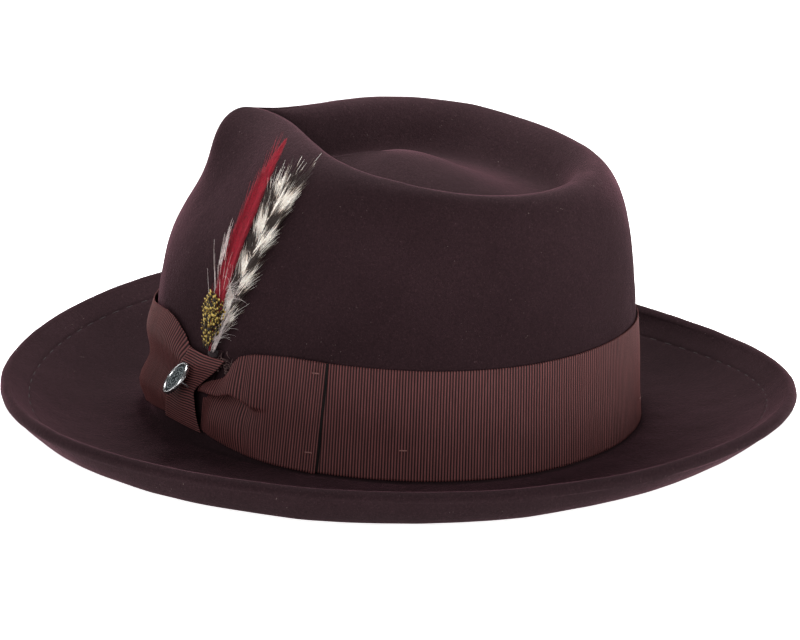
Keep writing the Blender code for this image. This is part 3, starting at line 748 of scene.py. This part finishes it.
def make_leaf():
    """The rear leaf: a deep crease from the knot, a raised fold above it and a soft one below."""
    columns, rows = 240, 72
    flat_s = np.linspace(0, 1, columns)
    s = flat_s[None, :]
    v = np.linspace(0, 1, rows)[:, None]
    top, high = edge_curve(LEAF_TOP, flat_s)
    bottom, low = edge_curve(LEAF_BOTTOM, flat_s)
    degrees = bottom + (top - bottom) * v
    fold = np.interp(s, (0, 0.1, 0.33, 0.5, 1), (0.84, 0.80, 0.62, 0.46, 0.46))
    near = 1 - ramp(s, 0.30, 0.64)
    above = ramp(v, fold - 0.01, fold + 0.045)
    upper = above * (1 - 0.55 * np.clip((v - fold) / (1 - fold), 0, 1) ** 1.5)
    below = np.clip((fold - v) / fold, 0, 1)
    lower = np.sin(np.pi * below**1.25)
    rise = ramp(s, 0.0, 0.14)
    folds = 0.0070 * upper * (0.45 + 0.55 * rise) + 0.0027 * lower * rise
    lift = 0.0018 + near * (folds - 0.0006 * (1 - above) * (1 - rise))
    lift = lift - 0.0016 * near * bell(v, fold - 0.05, 0.05) + 0.0005 * ramp(s, 0.955, 0.985)
    z = low + (high - low) * v
    # the free end steps down to a narrow strip on the band, which is painted shade: its u is held at a rib
    # valley, so it takes the darkest ribbon colour as a shadow line beside the leaf's end
    end_shade_strip = [on_crown(np.radians(degrees[:, -1:] + past), z[:, -1:], 0 * v + 0.0017) for past in (0.03, 0.62)]
    p = np.concatenate([on_crown(np.radians(degrees), z, lift), *end_shade_strip], axis=1)
    u, across = lengths(p)
    # painted shade: the strip's u sits at a rib valley, where the ribbon's colour is near black
    valley_shade = math.ceil(u[0, -3] * 1000 / RIB_MM) * RIB_MM / 1000
    u = np.where(np.arange(p.shape[1]) < columns, u, valley_shade)
    leaf = grosgrain("bow_leaf_cloth", p, u, across, "bow_leaf")


KNOT_LOW, KNOT_HIGH = 0.0086, 0.0414
# the knot's front and rear edges: millimetres over the break, degrees
KNOT_FRONT = ((8.6, 39.6), (20.0, 42.6), (30.0, 45.2), (41.4, 47.6))
KNOT_REAR = (
    (8.6, 53.6), (16.5, 53.2), (23.0, 52.8), (26.0, 52.3),
    (28.5, 53.0), (32.5, 55.3), (36.5, 57.6), (41.0, 59.4),
)


def knot_edge(table, z):
    height, degrees = np.array(table).T
    return smoothed(np.interp(z[0], height / 1000, degrees), 11)[None, :]


def make_knot():
    """The knot strip's length runs up the hat, so its ribs lie nearly level."""
    columns, rows = 150, 26
    up = np.linspace(0, 1, columns)[None, :]
    across = np.linspace(1, 0, rows)[:, None]
    z = KNOT_LOW + (KNOT_HIGH - KNOT_LOW) * up
    front, rear = knot_edge(KNOT_FRONT, z), knot_edge(KNOT_REAR, z)
    a = front + (rear - front) * across
    waist = np.sin(np.pi * up)
    lift = 0.0036 + 0.0038 * waist**0.8 + 0.0007 * np.sin(np.pi * across) * waist
    ripple = 0.00045 * np.cos(TAU * (1.6 * across + 0.15)) * bell(up, 0.60, 0.25)
    fall = 0.0006 * np.sin(np.pi * across) * (0.5 - up) - 0.0009 * (across - 0.5)
    p = on_crown(np.radians(a), z + fall, lift + ripple)
    knot = grosgrain("bow_knot_cloth", p, *lengths(p), "bow_knot", picot=0.0003)


def make_tuck_threads():
    """Loose fibres where the ribbon's end is tucked away beside the feathers' foot."""
    rng = np.random.default_rng(31)
    points, count = 12, 26
    per_metre = 620  # degrees round the crown for a metre sideways
    k = np.linspace(0, 1, points)
    paths = []
    for _ in range(count):
        a0, z0 = rng.uniform(57.0, 61.5), rng.uniform(0.0355, 0.0415)
        reach, turn_by, bend = rng.uniform(0.002, 0.0055), rng.uniform(0, TAU), rng.normal(0, 2.6)
        heading = turn_by + bend * k
        x = np.cumsum(np.cos(heading)) * reach / points
        y = np.cumsum(np.sin(heading)) * reach / points
        lift = 0.0016 + 0.0022 * np.sin(np.pi * k) * rng.uniform(0.2, 1.0)
        paths.append(on_crown(np.radians(a0 + x * per_metre), z0 + y, lift))
    verts, faces = tubes(paths, np.full((count, points), 0.00011), 4)
    make("ribbon_tuck_fibres", verts, faces, M["fray"], "hat")


make_tuck_threads()
make_band()
make_leaf()
make_knot()


# ---- badge ----
def place_disc(points):
    turn_to = BADGE_N.to_track_quat("Z", "Y").to_matrix()
    return np.asarray(points) @ np.array(turn_to).T + BADGE_C


# the case's turned outline, from its back round the rim to the well: radius and height, in millimetres
CASE_PROFILE = (
    (0.0, -0.80), (4.0, -0.80), (6.9, -0.80), (7.25, -0.76), (7.50, -0.60), (7.62, -0.35),
    (7.62, 0.15), (7.55, 0.50), (7.38, 0.75), (7.12, 0.90), (6.85, 0.90), (6.60, 0.80),
    (6.45, 0.55), (6.40, 0.05), (6.1, 0.00), (0.0, 0.00),
)
RELIEF_MM = 6.35


def make_badge():
    """The turned case, and its enamel face with a plain relief: a small cross, rings, dots and rays."""
    steps = 144
    a = np.arange(steps) * TAU / steps
    rings = [stack(r * np.cos(a), r * np.sin(a), z) for r, z in np.array(CASE_PROFILE) / 1000]
    faces = grid_faces(len(rings), steps, closed=True)
    verts = place_disc(np.array(rings).reshape(-1, 3))
    make("badge_case_turned", verts, faces, M["metal"], "badge_head", ["badge_case"])
    radii = np.concatenate([[0.0001], np.linspace(0.25, RELIEF_MM, 62) / 1000])
    r, b = radii[:, None], a[None, :]
    mm = r * 1000
    petal = 0.9 * ramp(np.abs(np.cos(2 * b)), 0.80, 0.95) * bell(mm, 1.55, 0.50)
    dots = 0.8 * ramp(np.cos(14 * b), 0.30, 0.7) * bell(mm, 4.05, 0.26)
    ringed = 0.8 * bell(mm, 5.05, 0.15) + 0.8 * bell(mm, 3.0, 0.15)
    rays = 0.5 * ramp(np.abs(np.sin(20 * b)), 0.6, 0.85) * bell(mm, 5.75, 0.20)
    height = np.clip(petal + dots + rays + ringed, 0, 1)
    verts = place_disc(stack(r * np.cos(b), r * np.sin(b), 0.00022 + 0.00024 * height).reshape(-1, 3))
    faces = grid_faces(len(radii), steps, closed=True)
    uv = np.stack([height, np.broadcast_to(mm / 7, height.shape)], -1)
    face = make("badge_relief", verts, faces, M["enamel"], "badge_head", ["badge_face"], uv)
    solidify(face, 0.0002)


def make_needle():
    """The pin's needle, which shows for a moment between the badge and the knot."""
    k = np.linspace(0, 1, 12)
    path = BADGE_C - np.array(BADGE_N) * (0.0007 + 0.0066 * k)[:, None]
    verts, faces = tubes([path], [0.00048 * np.minimum(1, 6 * (1.001 - k)) ** 0.5], 12)
    make("badge_needle_shaft", verts, faces, M["metal"], "badge_pin", ["badge_needle"])


make_badge()
make_needle()


# ---- feathers ----
def path_points(path, n):
    s = np.linspace(0, 1, n)[:, None]
    return bez(*[np.asarray(p, float) for p in path], s)


def barbs(
    path, layer, count, widths, angle, radius, seed,
    start=0.06, end=0.995, loose=0.0, hands=(1, -1), clump=0.0, period=0.0,
):
    """Tapered barbs beside a quill, and their UV: millimetres along the feather and across it.

    Widths, radius, loose and period are in millimetres. The barbs spring from start to end, in shares of the
    quill, on both hands or one. clump gathers them into swept tufts, one every period."""
    rng = np.random.default_rng(seed)
    fine = path_points(path, 400)
    gone = travelled(fine)
    length = gone[-1]
    ahead_all = unit(np.gradient(fine, axis=0))
    k = np.linspace(0, 1, 7)
    paths, radii, uv = [], [], []
    for hand in hands:
        for i in range(count):
            s = start + (end - start) * (i + rng.uniform(-0.5, 0.5)) / count
            s = min(max(s, 0), 0.995)
            at = np.array([np.interp(s * length, gone, fine[:, j]) for j in range(3)])
            ahead = ahead_all[np.searchsorted(gone, s * length)]
            across = unit(np.cross(ahead, F_OUT))
            out = np.cross(across, ahead)
            half = np.interp(s, np.linspace(0, 1, len(widths)), widths) / 1000 * rng.uniform(0.75, 1.12)
            tilt = math.radians(angle * rng.uniform(0.75, 1.25))
            if clump:
                turns = s * length / (period / 1000) + 0.37 * (hand > 0) + 0.06 * math.sin(s * 40)
                phase, tuft = turns % 1, int(turns)
                half *= 1 - clump * (1 - phase) ** 1.3 * 0.8
                half *= 0.92 + 0.20 * math.sin(tuft * 2.4 + hand)
                tilt *= (1.25 - 0.7 * phase * clump) * (1 + 0.16 * math.sin(tuft * 1.7 + 2 * hand))
            run = half / math.tan(tilt)
            sideways = hand * half * k ** 0.85
            forward = run * k ** 1.15
            bow = rng.normal(0, loose / 1000) * k**2 + layer + rng.uniform(-0.0004, 0.0004)
            bow = bow + 0.06 * half * np.sin(np.pi * k) - 0.10 * half * k**2
            paths.append(at + across * sideways[:, None] + ahead * forward[:, None] + out * bow[:, None])
            radii.append(radius / 1000 * (1 - 0.85 * k**1.5))
            mark = s * length + 0.65 * forward + rng.normal(0, 0.0016) + 0.0055 * (hand > 0)
            uv.append(np.stack([mark * 1000, sideways * 1000 + 37.0 * rng.random()], -1))
    return paths, radii, uv


def tube_uv(uv, sides):
    return np.repeat(np.asarray(uv).reshape(-1, 2), sides, axis=0)


QUILL = 0.0005


def feather(name, node, key, path, layer, parts):
    """A quill on a path, with each part's barbs, laid out from the feathers' foot by layer."""
    groups = [barbs(path, layer, **part) for part in parts]
    paths, radii, uv = [sum((group[i] for group in groups), []) for i in range(3)]
    verts, faces = tubes(paths, radii, 4)
    steps, sides = 40, 6
    spine = path_points(path, steps)[None] + F_OUT * layer
    q_verts, q_faces = tubes(spine, QUILL * (1 - 0.75 * np.linspace(0, 1, steps))[None], sides)
    faces = faces + [[i + len(verts) for i in f] for f in q_faces]
    along = np.repeat(np.linspace(0, 90, steps), sides)
    flat_uv = np.concatenate([tube_uv(uv, 4), np.stack([along, 0 * along], -1)])
    return make(name, np.concatenate([verts, q_verts]), faces, M[key], "feather_trim", [node], flat_uv)


def shifted(x, y, z):
    return np.array((x, y + SHIFT, z + BREAK))


RED_PATH = (
    ROOT,
    shifted(0.0742, -0.0535, 0.0705), shifted(0.0633, -0.0450, 0.1015), shifted(0.0434, -0.0334, 0.1265),
)
BARRED_PATH = (
    ROOT,
    shifted(0.0757, -0.0485, 0.0684), shifted(0.0710, -0.0385, 0.0945), shifted(0.0590, -0.0285, 0.1175),
)
# the hackle's body, its loose outer barbs and the few at its foot
RED_PARTS = (
    dict(
        count=460, widths=(2.2, 3.8, 3.8, 2.8, 1.7, 0.2), angle=9, radius=0.17, seed=5, loose=0.2,
        end=0.985,
    ),
    dict(
        count=56, widths=(4.0, 4.4, 4.0, 4.6, 5.2, 2.0), angle=15, radius=0.11, seed=15, loose=0.9,
        hands=(-1,), end=0.9,
    ),
    dict(
        count=30, widths=(4.8, 4.4, 1.0, 0.0, 0.0, 0.0), angle=13, radius=0.10, seed=25, loose=0.9,
        hands=(-1,), start=0.02, end=0.3,
    ),
)
# the barred feather's two tufted vanes, loose barbs over both, and two groups that fill its end
BARRED_PARTS = (
    dict(
        count=640, widths=(1.2, 4.2, 7.0, 8.8, 8.6, 6.2), angle=25, radius=0.15, seed=6, loose=0.6,
        hands=(1,), end=0.81, clump=0.80, period=17.2,
    ),
    dict(
        count=560, widths=(0.8, 4.4, 7.4, 8.2, 7.0, 5.0), angle=23, radius=0.15, seed=7, loose=0.6,
        hands=(-1,), end=0.75, clump=0.5, period=13.5,
    ),
    dict(
        count=110, widths=(3.0, 6.0, 7.8, 8.8, 8.0, 5.0), angle=32, radius=0.09, seed=16, loose=1.2,
        end=0.84,
    ),
    dict(
        count=260, widths=(4.4, 4.4, 4.6, 5.0, 5.0, 4.2), angle=16, radius=0.15, seed=26, loose=1.0,
        start=0.45, end=0.85, clump=0.3, period=11.0,
    ),
    dict(
        count=240, widths=(2.0, 2.0, 2.0, 2.2, 2.4, 2.0), angle=9, radius=0.15, seed=36, loose=1.0,
        start=0.55, end=0.87,
    ),
)
PLUME_SHARES = (0, 0.25, 0.5, 0.7, 0.86, 1)
PLUME_HALVES = (0.0011, 0.0029, 0.0045, 0.0051, 0.0043, 0.0012)


def make_gold():
    """Small overlapping plumes in rows, each black with a gold tip."""
    rng = np.random.default_rng(11)
    verts, faces, uv = [], [], []
    lean = unit(F_AXIS - F_SIDE * 0.16)
    across = np.cross(F_OUT, lean)
    rows, size, made = 28, 5, 0
    k = np.linspace(0, 1, size)[:, None]
    j = np.linspace(-1, 1, 4)[None, :]
    for row in range(rows):
        share = row / (rows - 1)
        up = 0.0010 + 0.0218 * share
        half = float(np.interp(share, PLUME_SHARES, PLUME_HALVES))
        count = max(2, round(half / 0.00036))
        for i in range(count):
            place = ((i + 0.5 * (row % 2)) / max(1, count - 1) - 0.5) * 2 * half + rng.normal(0, 0.00025)
            size_of = rng.uniform(0.7, 1.25)
            length, width = 0.0023 * size_of, 0.00040 * size_of
            layer = 0.0032 + 0.0006 * (1 - share) - 0.0020 * (place / 0.005) ** 2 + rng.normal(0, 0.00018)
            tilt = rng.normal(0, 0.38) + place * 70
            ahead = unit(lean * math.cos(tilt) + across * math.sin(tilt))
            right = np.cross(F_OUT, ahead)
            shape = width * np.sin(np.pi * (0.12 + 0.80 * k)) ** 0.6
            centre = ROOT + lean * up + across * place + F_OUT * layer
            p = centre + ahead * (length * k)[..., None] + right * (shape * j)[..., None]
            p = p + F_OUT * (0.0004 * k**1.5 * size_of - 0.0003 * j**2 * k)[..., None]
            verts.append(p.reshape(-1, 3))
            tone = rng.uniform(-0.30, 0.22)
            uv.append(np.stack(np.broadcast_arrays(j * 0.5 + 0.5, k + tone), -1).reshape(-1, 2))
            faces += grid_faces(size, 4, start=made)
            made += size * 4
    verts, uv = np.concatenate(verts), np.concatenate(uv)
    name = "feather_gold_plumes"
    plumes = make(name, verts, faces, M["gold"], "feather_trim", ["feather_gold"], uv)
    solidify(plumes, 0.00012)


def wisps(rng, count, feet, reaches, spreads, curl, layers, rough=0.10, radius=0.095, aside=0.0):
    """Fine loose hairs: where they spring from along the feather, their lengths and their spread angles.

    Lengths are in millimetres, and angles in radians."""
    k = np.linspace(0, 1, 12)
    paths, radii, uv = [], [], []
    for _ in range(count):
        foot, reach, spread = rng.uniform(*feet) / 1000, rng.uniform(*reaches) / 1000, rng.uniform(*spreads)
        heading = spread + rng.normal(0, curl) * k**1.5 + rng.normal(0, rough)
        step = reach / len(k)
        sideways = aside / 1000 + rng.uniform(-0.0012, 0.0012) + np.cumsum(np.sin(heading)) * step
        forward = foot + np.cumsum(np.cos(heading)) * step
        layer = rng.uniform(*layers) / 1000 - 0.10 * reach * k**2
        paths.append(ROOT + F_AXIS * forward[:, None] + F_SIDE * sideways[:, None] + F_OUT * layer[:, None])
        radii.append(radius / 1000 * (1 - 0.75 * k))
        uv.append(np.stack([forward * 1000, sideways * 1000 + 37 * rng.random()], -1))
    return paths, radii, uv


def make_wisps():
    rng = np.random.default_rng(21)
    groups = (
        wisps(rng, 34, (2, 18), (20, 34), (-0.46, -0.22), 0.14, (-0.4, 0.8), 0.10, 0.12),
        wisps(rng, 50, (-1, 10), (6, 15), (0.05, 0.50), 0.75, (-0.5, 2.2)),
        wisps(rng, 34, (20, 28), (6, 13), (0.45, 0.90), 1.20, (-1.0, 1.2)),
        wisps(rng, 64, (-1, 14), (7, 15), (0.12, 0.24), 0.15, (0.4, 2.0), 0.05, 0.13, 1.2),
        wisps(rng, 16, (34, 42), (10, 16), (-0.16, -0.08), 0.08, (-0.4, 0.6), 0.03, 0.12, -6.0),
    )
    paths, radii, uv = [sum((group[i] for group in groups), []) for i in range(3)]
    verts, faces = tubes(paths, radii, 3)
    uv = tube_uv(uv, 3)
    make("feather_wisps", verts, faces, M["white"], "feather_trim", ["feather_white"], uv)


def make_binding():
    """Thread wound round the feathers' foot, as one helix on a core."""
    turns, points = 7, 200
    radius, behind = 0.00185, F_OUT * 0.0006
    k = np.linspace(0, 1, points)
    angle = k * turns * TAU
    ring = F_OUT * np.cos(angle)[:, None] + F_SIDE * np.sin(angle)[:, None]
    middle = ROOT - F_AXIS * 0.0023 + F_AXIS * (k * 0.0019)[:, None] - behind
    helix, faces = tubes([middle + ring * radius], [np.full(points, 0.00020)], 6)
    core_path = np.array([ROOT - F_AXIS * d - behind for d in (0.0023, 0.0018, 0.0010, 0.0004)])
    core, core_faces = tubes([core_path], [np.array((0.0015, 0.0017, 0.0017, 0.0012))], 16)
    faces = faces + [[i + len(helix) for i in f] for f in core_faces]
    verts = np.concatenate([helix, core])
    make("feather_binding_thread", verts, faces, M["thread"], "feather_trim", ["feather_binding"])


feather("feather_red_hackle", "feather_red", "red", RED_PATH, 0.0016, RED_PARTS)
feather(
    "feather_barred_vane", "feather_barred", "barred", BARRED_PATH, -0.0007, BARRED_PARTS
)
make_gold()
make_wisps()
make_binding()


# ---- inside the crown ----
def inside(a, z, o):
    """Points inside the crown at heights over the break, offset in from the felt's outside. Arrays match."""
    a, z, o = np.broadcast_arrays(a, z, o)
    shape = a.shape
    a, z, o = a.ravel(), z.ravel() + BREAK, o.ravel()
    low = wave(BREAK_WAVE, a)
    flat_s = ((z - low) / BAND_H)[:, None]
    p_wall = base_at(a) * (1 - flat_s) + top_at(a) * flat_s
    out_wall = unit(stack(np.sin(a) / CROWN_W, -np.cos(a) / CROWN_L, 0 * a))
    below, above = np.zeros_like(a), np.ones_like(a)
    for _ in range(26):
        middle = (below + above) / 2
        under = side(a, middle)[:, 2] < z
        below, above = np.where(under, middle, below), np.where(under, above, middle)
    e = 0.01
    p_side = side(a, below)
    tangent = side(a + e, below) - side(a - e, below)
    out_side = unit(stack(tangent[:, 1], -tangent[:, 0], 0 * a))
    is_wall = (z <= low + BAND_H)[:, None]
    p = np.where(is_wall, p_wall, p_side)
    out = np.where(is_wall, out_wall, out_side)
    p = p - out * o[:, None]
    return stack(p[:, 0], p[:, 1], z).reshape(*shape, 3)


def ring_cloth(name, node, key, rows, thickness):
    faces = [f[::-1] for f in grid_faces(rows.shape[0], rows.shape[1], closed=True)]
    return solidify(make(name, rows, faces, M[key], "hat", [node]), thickness)


def make_sweatband():
    a = np.linspace(0, TAU, 361)[:-1][None, :]
    v = np.concatenate([[0, 0.01, 0.03], np.linspace(0.08, 0.92, 12), [0.97, 0.99, 1]])[:, None]
    edge = wave(BREAK_WAVE, a) - BREAK
    z = edge + 0.0016 + 0.0324 * v
    roll = 0.0006 * (ramp(v, 0.94, 0.99)) + 0.0008 * (1 - ramp(v, 0.0, 0.08))
    ripple = 0.00030 * np.sin(9 * a + 1.0) * v + 0.00014 * np.sin(31 * a) * v
    rows = inside(a, z, 0.0046 + roll + ripple)
    strip = ring_cloth("sweatband_strip", "sweatband", "leather", rows, 0.0009)
    count, reach = 150, 0.32
    t, arch = dashes(count, reach, 5)
    low = wave(BREAK_WAVE, t) - BREAK
    p = inside(t, low + 0.0042, 0.00480 + 0.0002 * arch + 0.00030 * np.sin(9 * t + 1.0) * 0.08)
    sew("sweatband_stitches", p, count, reach, 0.00022, 5)


LINING_CENTRE = np.array((0, SHIFT, 0))
TIP_Z, PATCH_Z = 0.0840, 0.0828  # over the break, at the edges of the tip and of its patch
TIP_RISE = 0.0040


def domed_cloth(name, node, key, edge, shares, height, thickness):
    """An oval of cloth from its edge in to its middle. height(k) is over the break, at share k inwards."""
    rings = []
    for k in shares:
        ring = LINING_CENTRE + (edge - LINING_CENTRE) * (1 - k)
        ring[:, 2] = BREAK + TIP_RISE * math.sin(k * math.pi / 2) + height(k)
        rings.append(ring)
    columns = len(edge)
    faces = [f[::-1] for f in grid_faces(len(rings), columns, closed=True)]
    faces.append([(len(rings) - 1) * columns + j for j in range(columns)][::-1])
    return solidify(make(name, np.array(rings), faces, M[key], "hat", [node]), thickness)


def make_lining():
    """The pleated side band, the tip and the piping round it."""
    a = np.linspace(0, TAU, 481)[:-1]
    v = np.linspace(0, 1, 22)[:, None]
    z = 0.0222 + (0.0828 - 0.0222) * v
    slack = 0.0030 * ramp(z, 0.028, 0.064)
    pleat = 0.00045 * np.abs(np.sin(a * 45 + 0.6 * np.sin(3 * a))) * (0.25 + 0.75 * v)
    pleat = pleat + 0.0003 * np.sin(7 * a + 3 * v) * v
    rows = inside(a[None, :], z, 0.0031 + slack + pleat)
    obj = ring_cloth("lining_side_cloth", "lining_side", "satin", rows, 0.0003)

    def tip_height(k):
        return TIP_Z + 0.0004 * np.sin(5 * a + 9 * k) * math.sin(math.pi * k)

    edge = inside(a, TIP_Z + 0 * a, 0.0069 + 0 * a)
    shares = np.linspace(0, 0.985, 24)
    tip = domed_cloth(
        "lining_tip_cloth", "lining_tip", "satin", edge, shares, tip_height, 0.0003
    )
    twist = 0.00016
    ring = inside(a, 0.0822 + twist * np.sin(a * 150), 0.0081 + twist * np.cos(a * 150))
    bpy_curve("lining_piping_cord", ring, 0.00075, "ribbon_thread", "lining_piping")
    return edge


def make_patch(tip_edge):
    """The plain patch in the middle of the tip, half its size, with a fine border."""
    def patch_height(k):
        return PATCH_Z + (0.0005 if k == 0 else 0)

    edge = LINING_CENTRE + (tip_edge - LINING_CENTRE) * 0.5
    shares = np.linspace(0, 0.98, 12)
    patch = domed_cloth(
        "lining_patch_cloth", "lining_patch", "label", edge, shares, patch_height, 0.0002
    )
    inset = 0.12
    border = LINING_CENTRE + (edge - LINING_CENTRE) * (1 - inset)
    border[:, 2] = BREAK + PATCH_Z + TIP_RISE * math.sin(inset * math.pi / 2) - 0.0001
    bpy_curve("lining_patch_border", border, 0.00035, "reed", None)


def bpy_curve(name, points, radius, key, node):
    """A closed cord on the hat."""
    curve = bpy.data.curves.new(name, "CURVE")
    curve.dimensions, curve.bevel_depth, curve.bevel_resolution = "3D", radius, 2
    curve.use_fill_caps = False
    spline = curve.splines.new("POLY")
    spline.points.add(len(points) - 1)
    spline.points.foreach_set("co", np.concatenate([points, np.ones((len(points), 1))], 1).ravel())
    spline.use_cyclic_u = True
    curve.materials.append(M[key])
    obj = bpy.data.objects.new(name, curve)
    bpy.context.scene.collection.objects.link(obj)
    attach(obj, "hat")
    if node:
        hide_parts(node)


def make_small_bow():
    """The little ribbon bow at the back of the sweatband."""
    for hand, node in ((1, "sweatband_bow_left"), (-1, "sweatband_bow_right")):
        s = np.linspace(0, 1, 40)[None, :]
        v = np.linspace(0, 1, 9)[:, None]
        half = 0.0008 + 0.0022 * np.sin(np.pi * np.minimum(1, 0.15 + s * 0.75))
        a = np.pi - hand * np.radians(1.5 + 7.0 * s)
        z = 0.0085 + (v - 0.5) * 2 * half - 0.0006 * s
        puff = 0.0066 + 0.0009 * np.sin(np.pi * s) * np.cos(np.pi * (v - 0.5) * 0.9)
        p = inside(a, z, puff)
        faces = grid_faces(*p.shape[:2])
        if hand < 0:
            faces = [f[::-1] for f in faces]
        uv = np.stack(lengths(p), -1) * 1000
        solidify(make(node + "_loop", p, faces, M["ribbon"], "hat", [node], uv), 0.0004)
    k = np.linspace(-1, 1, 9)
    path = inside(np.full(9, np.pi), 0.0085 + 0.0021 * k, 0.0066 + 0.0004 * np.cos(k * 1.5))
    verts, faces = tubes([path], [0.0012 * np.cos(k * 1.2) ** 0.5], 12)
    make("sweatband_bow_centre", verts, faces, M["ribbon_thread"], "hat", ["sweatband_bow_knot"])


def make_label():
    a = np.radians(np.linspace(147, 157, 24))[None, :]
    v = np.linspace(0, 1, 12)[:, None]
    fold = 0.0002 * np.sin(v * np.pi)
    p = inside(a, 0.0355 + 0.0085 * v, 0.0057 + fold + 0 * a)
    faces = [f[::-1] for f in grid_faces(*p.shape[:2])]
    obj = make("size_label_cloth", p, faces, M["label"], "hat", ["size_label"])
    solidify(obj, 0.0003)


make_sweatband()
make_patch(make_lining())
make_small_bow()
make_label()

# ---- CAD nodes that are shown as they are ----
CARRIED = {
    "sweatband_reed": "reed",
    "feather_tab": "felt",
    "leaf_stitch_upper": "ribbon_thread",
    "leaf_stitch_lower": "ribbon_thread",
    "band_stitch_left": "ribbon_thread",
    "band_stitch_back": "ribbon_thread",
    "band_stitch_right": "ribbon_thread",
}
for node, key in CARRIED.items():
    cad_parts[node].data.materials.clear()
    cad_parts[node].data.materials.append(M[key])

# ---- floor, light and camera ----
floor_mat, _, _ = material(
    "floor_white", (0.93, 0.93, 0.93), 0.9, Emission_Color=(1, 1, 1, 1), Emission_Strength=0.92
)
FLOOR = 6.0
floor_mesh = bpy.data.meshes.new("floor")
floor_corners = [(x * FLOOR, y * FLOOR, 0) for x, y in ((-1, -1), (1, -1), (1, 1), (-1, 1))]
floor_mesh.from_pydata(floor_corners, [], [(0, 1, 2, 3)])
floor_mesh.materials.append(floor_mat)
floor = bpy.data.objects.new("floor", floor_mesh)
floor.location.z = -0.0002
bpy.context.scene.collection.objects.link(floor)

world = bpy.data.worlds.new("studio")
world.use_nodes = True
world.node_tree.nodes["Background"].inputs[0].default_value = (1, 1, 1, 1)
world.node_tree.nodes["Background"].inputs[1].default_value = 0.13
bpy.context.scene.world = world
bpy.context.scene.view_settings.view_transform = "Standard"


def softbox(name, place, aim, size, watts):
    """A round area light that the camera doesn't see."""
    light = bpy.data.lights.new(name, "AREA")
    light.shape, light.size, light.energy = "DISK", size, watts
    obj = bpy.data.objects.new(name, light)
    bpy.context.scene.collection.objects.link(obj)
    obj.location = place
    obj.visible_camera = False
    obj.rotation_mode = "QUATERNION"
    obj.rotation_quaternion = (Vector(aim) - Vector(place)).to_track_quat("-Z", "Y")


softbox("right_light", (-0.10, 1.40, 0.28), (0, 0, 0.08), 0.7, 15)
softbox("left_light", (0.10, -1.40, 0.24), (0, 0, 0.09), 0.6, 2.2)
softbox("top_light", (-0.14, -0.04, 0.45), (0, 0.01, 0.10), 0.26, 3.4)
softbox("near_light", (1.25, -0.15, 0.60), (0, 0, 0.08), 0.8, 9)

# the camera, as fitted to the photo
TARGET = Vector((-0.011864, -0.002872, 0.035220 + BREAK))
BACK = Vector((0.92417, 0.22334, 0.30985)).normalized()
DISTANCE = 1.5
camera_data = bpy.data.cameras.new("camera")
camera_data.sensor_width = 36
camera_data.lens = 157.75
camera = bpy.data.objects.new("camera", camera_data)
camera.location = TARGET + BACK * DISTANCE
camera.rotation_mode = "QUATERNION"
camera.rotation_quaternion = (-BACK).to_track_quat("-Z", "Y")
bpy.context.scene.collection.objects.link(camera)
bpy.context.scene.camera = camera
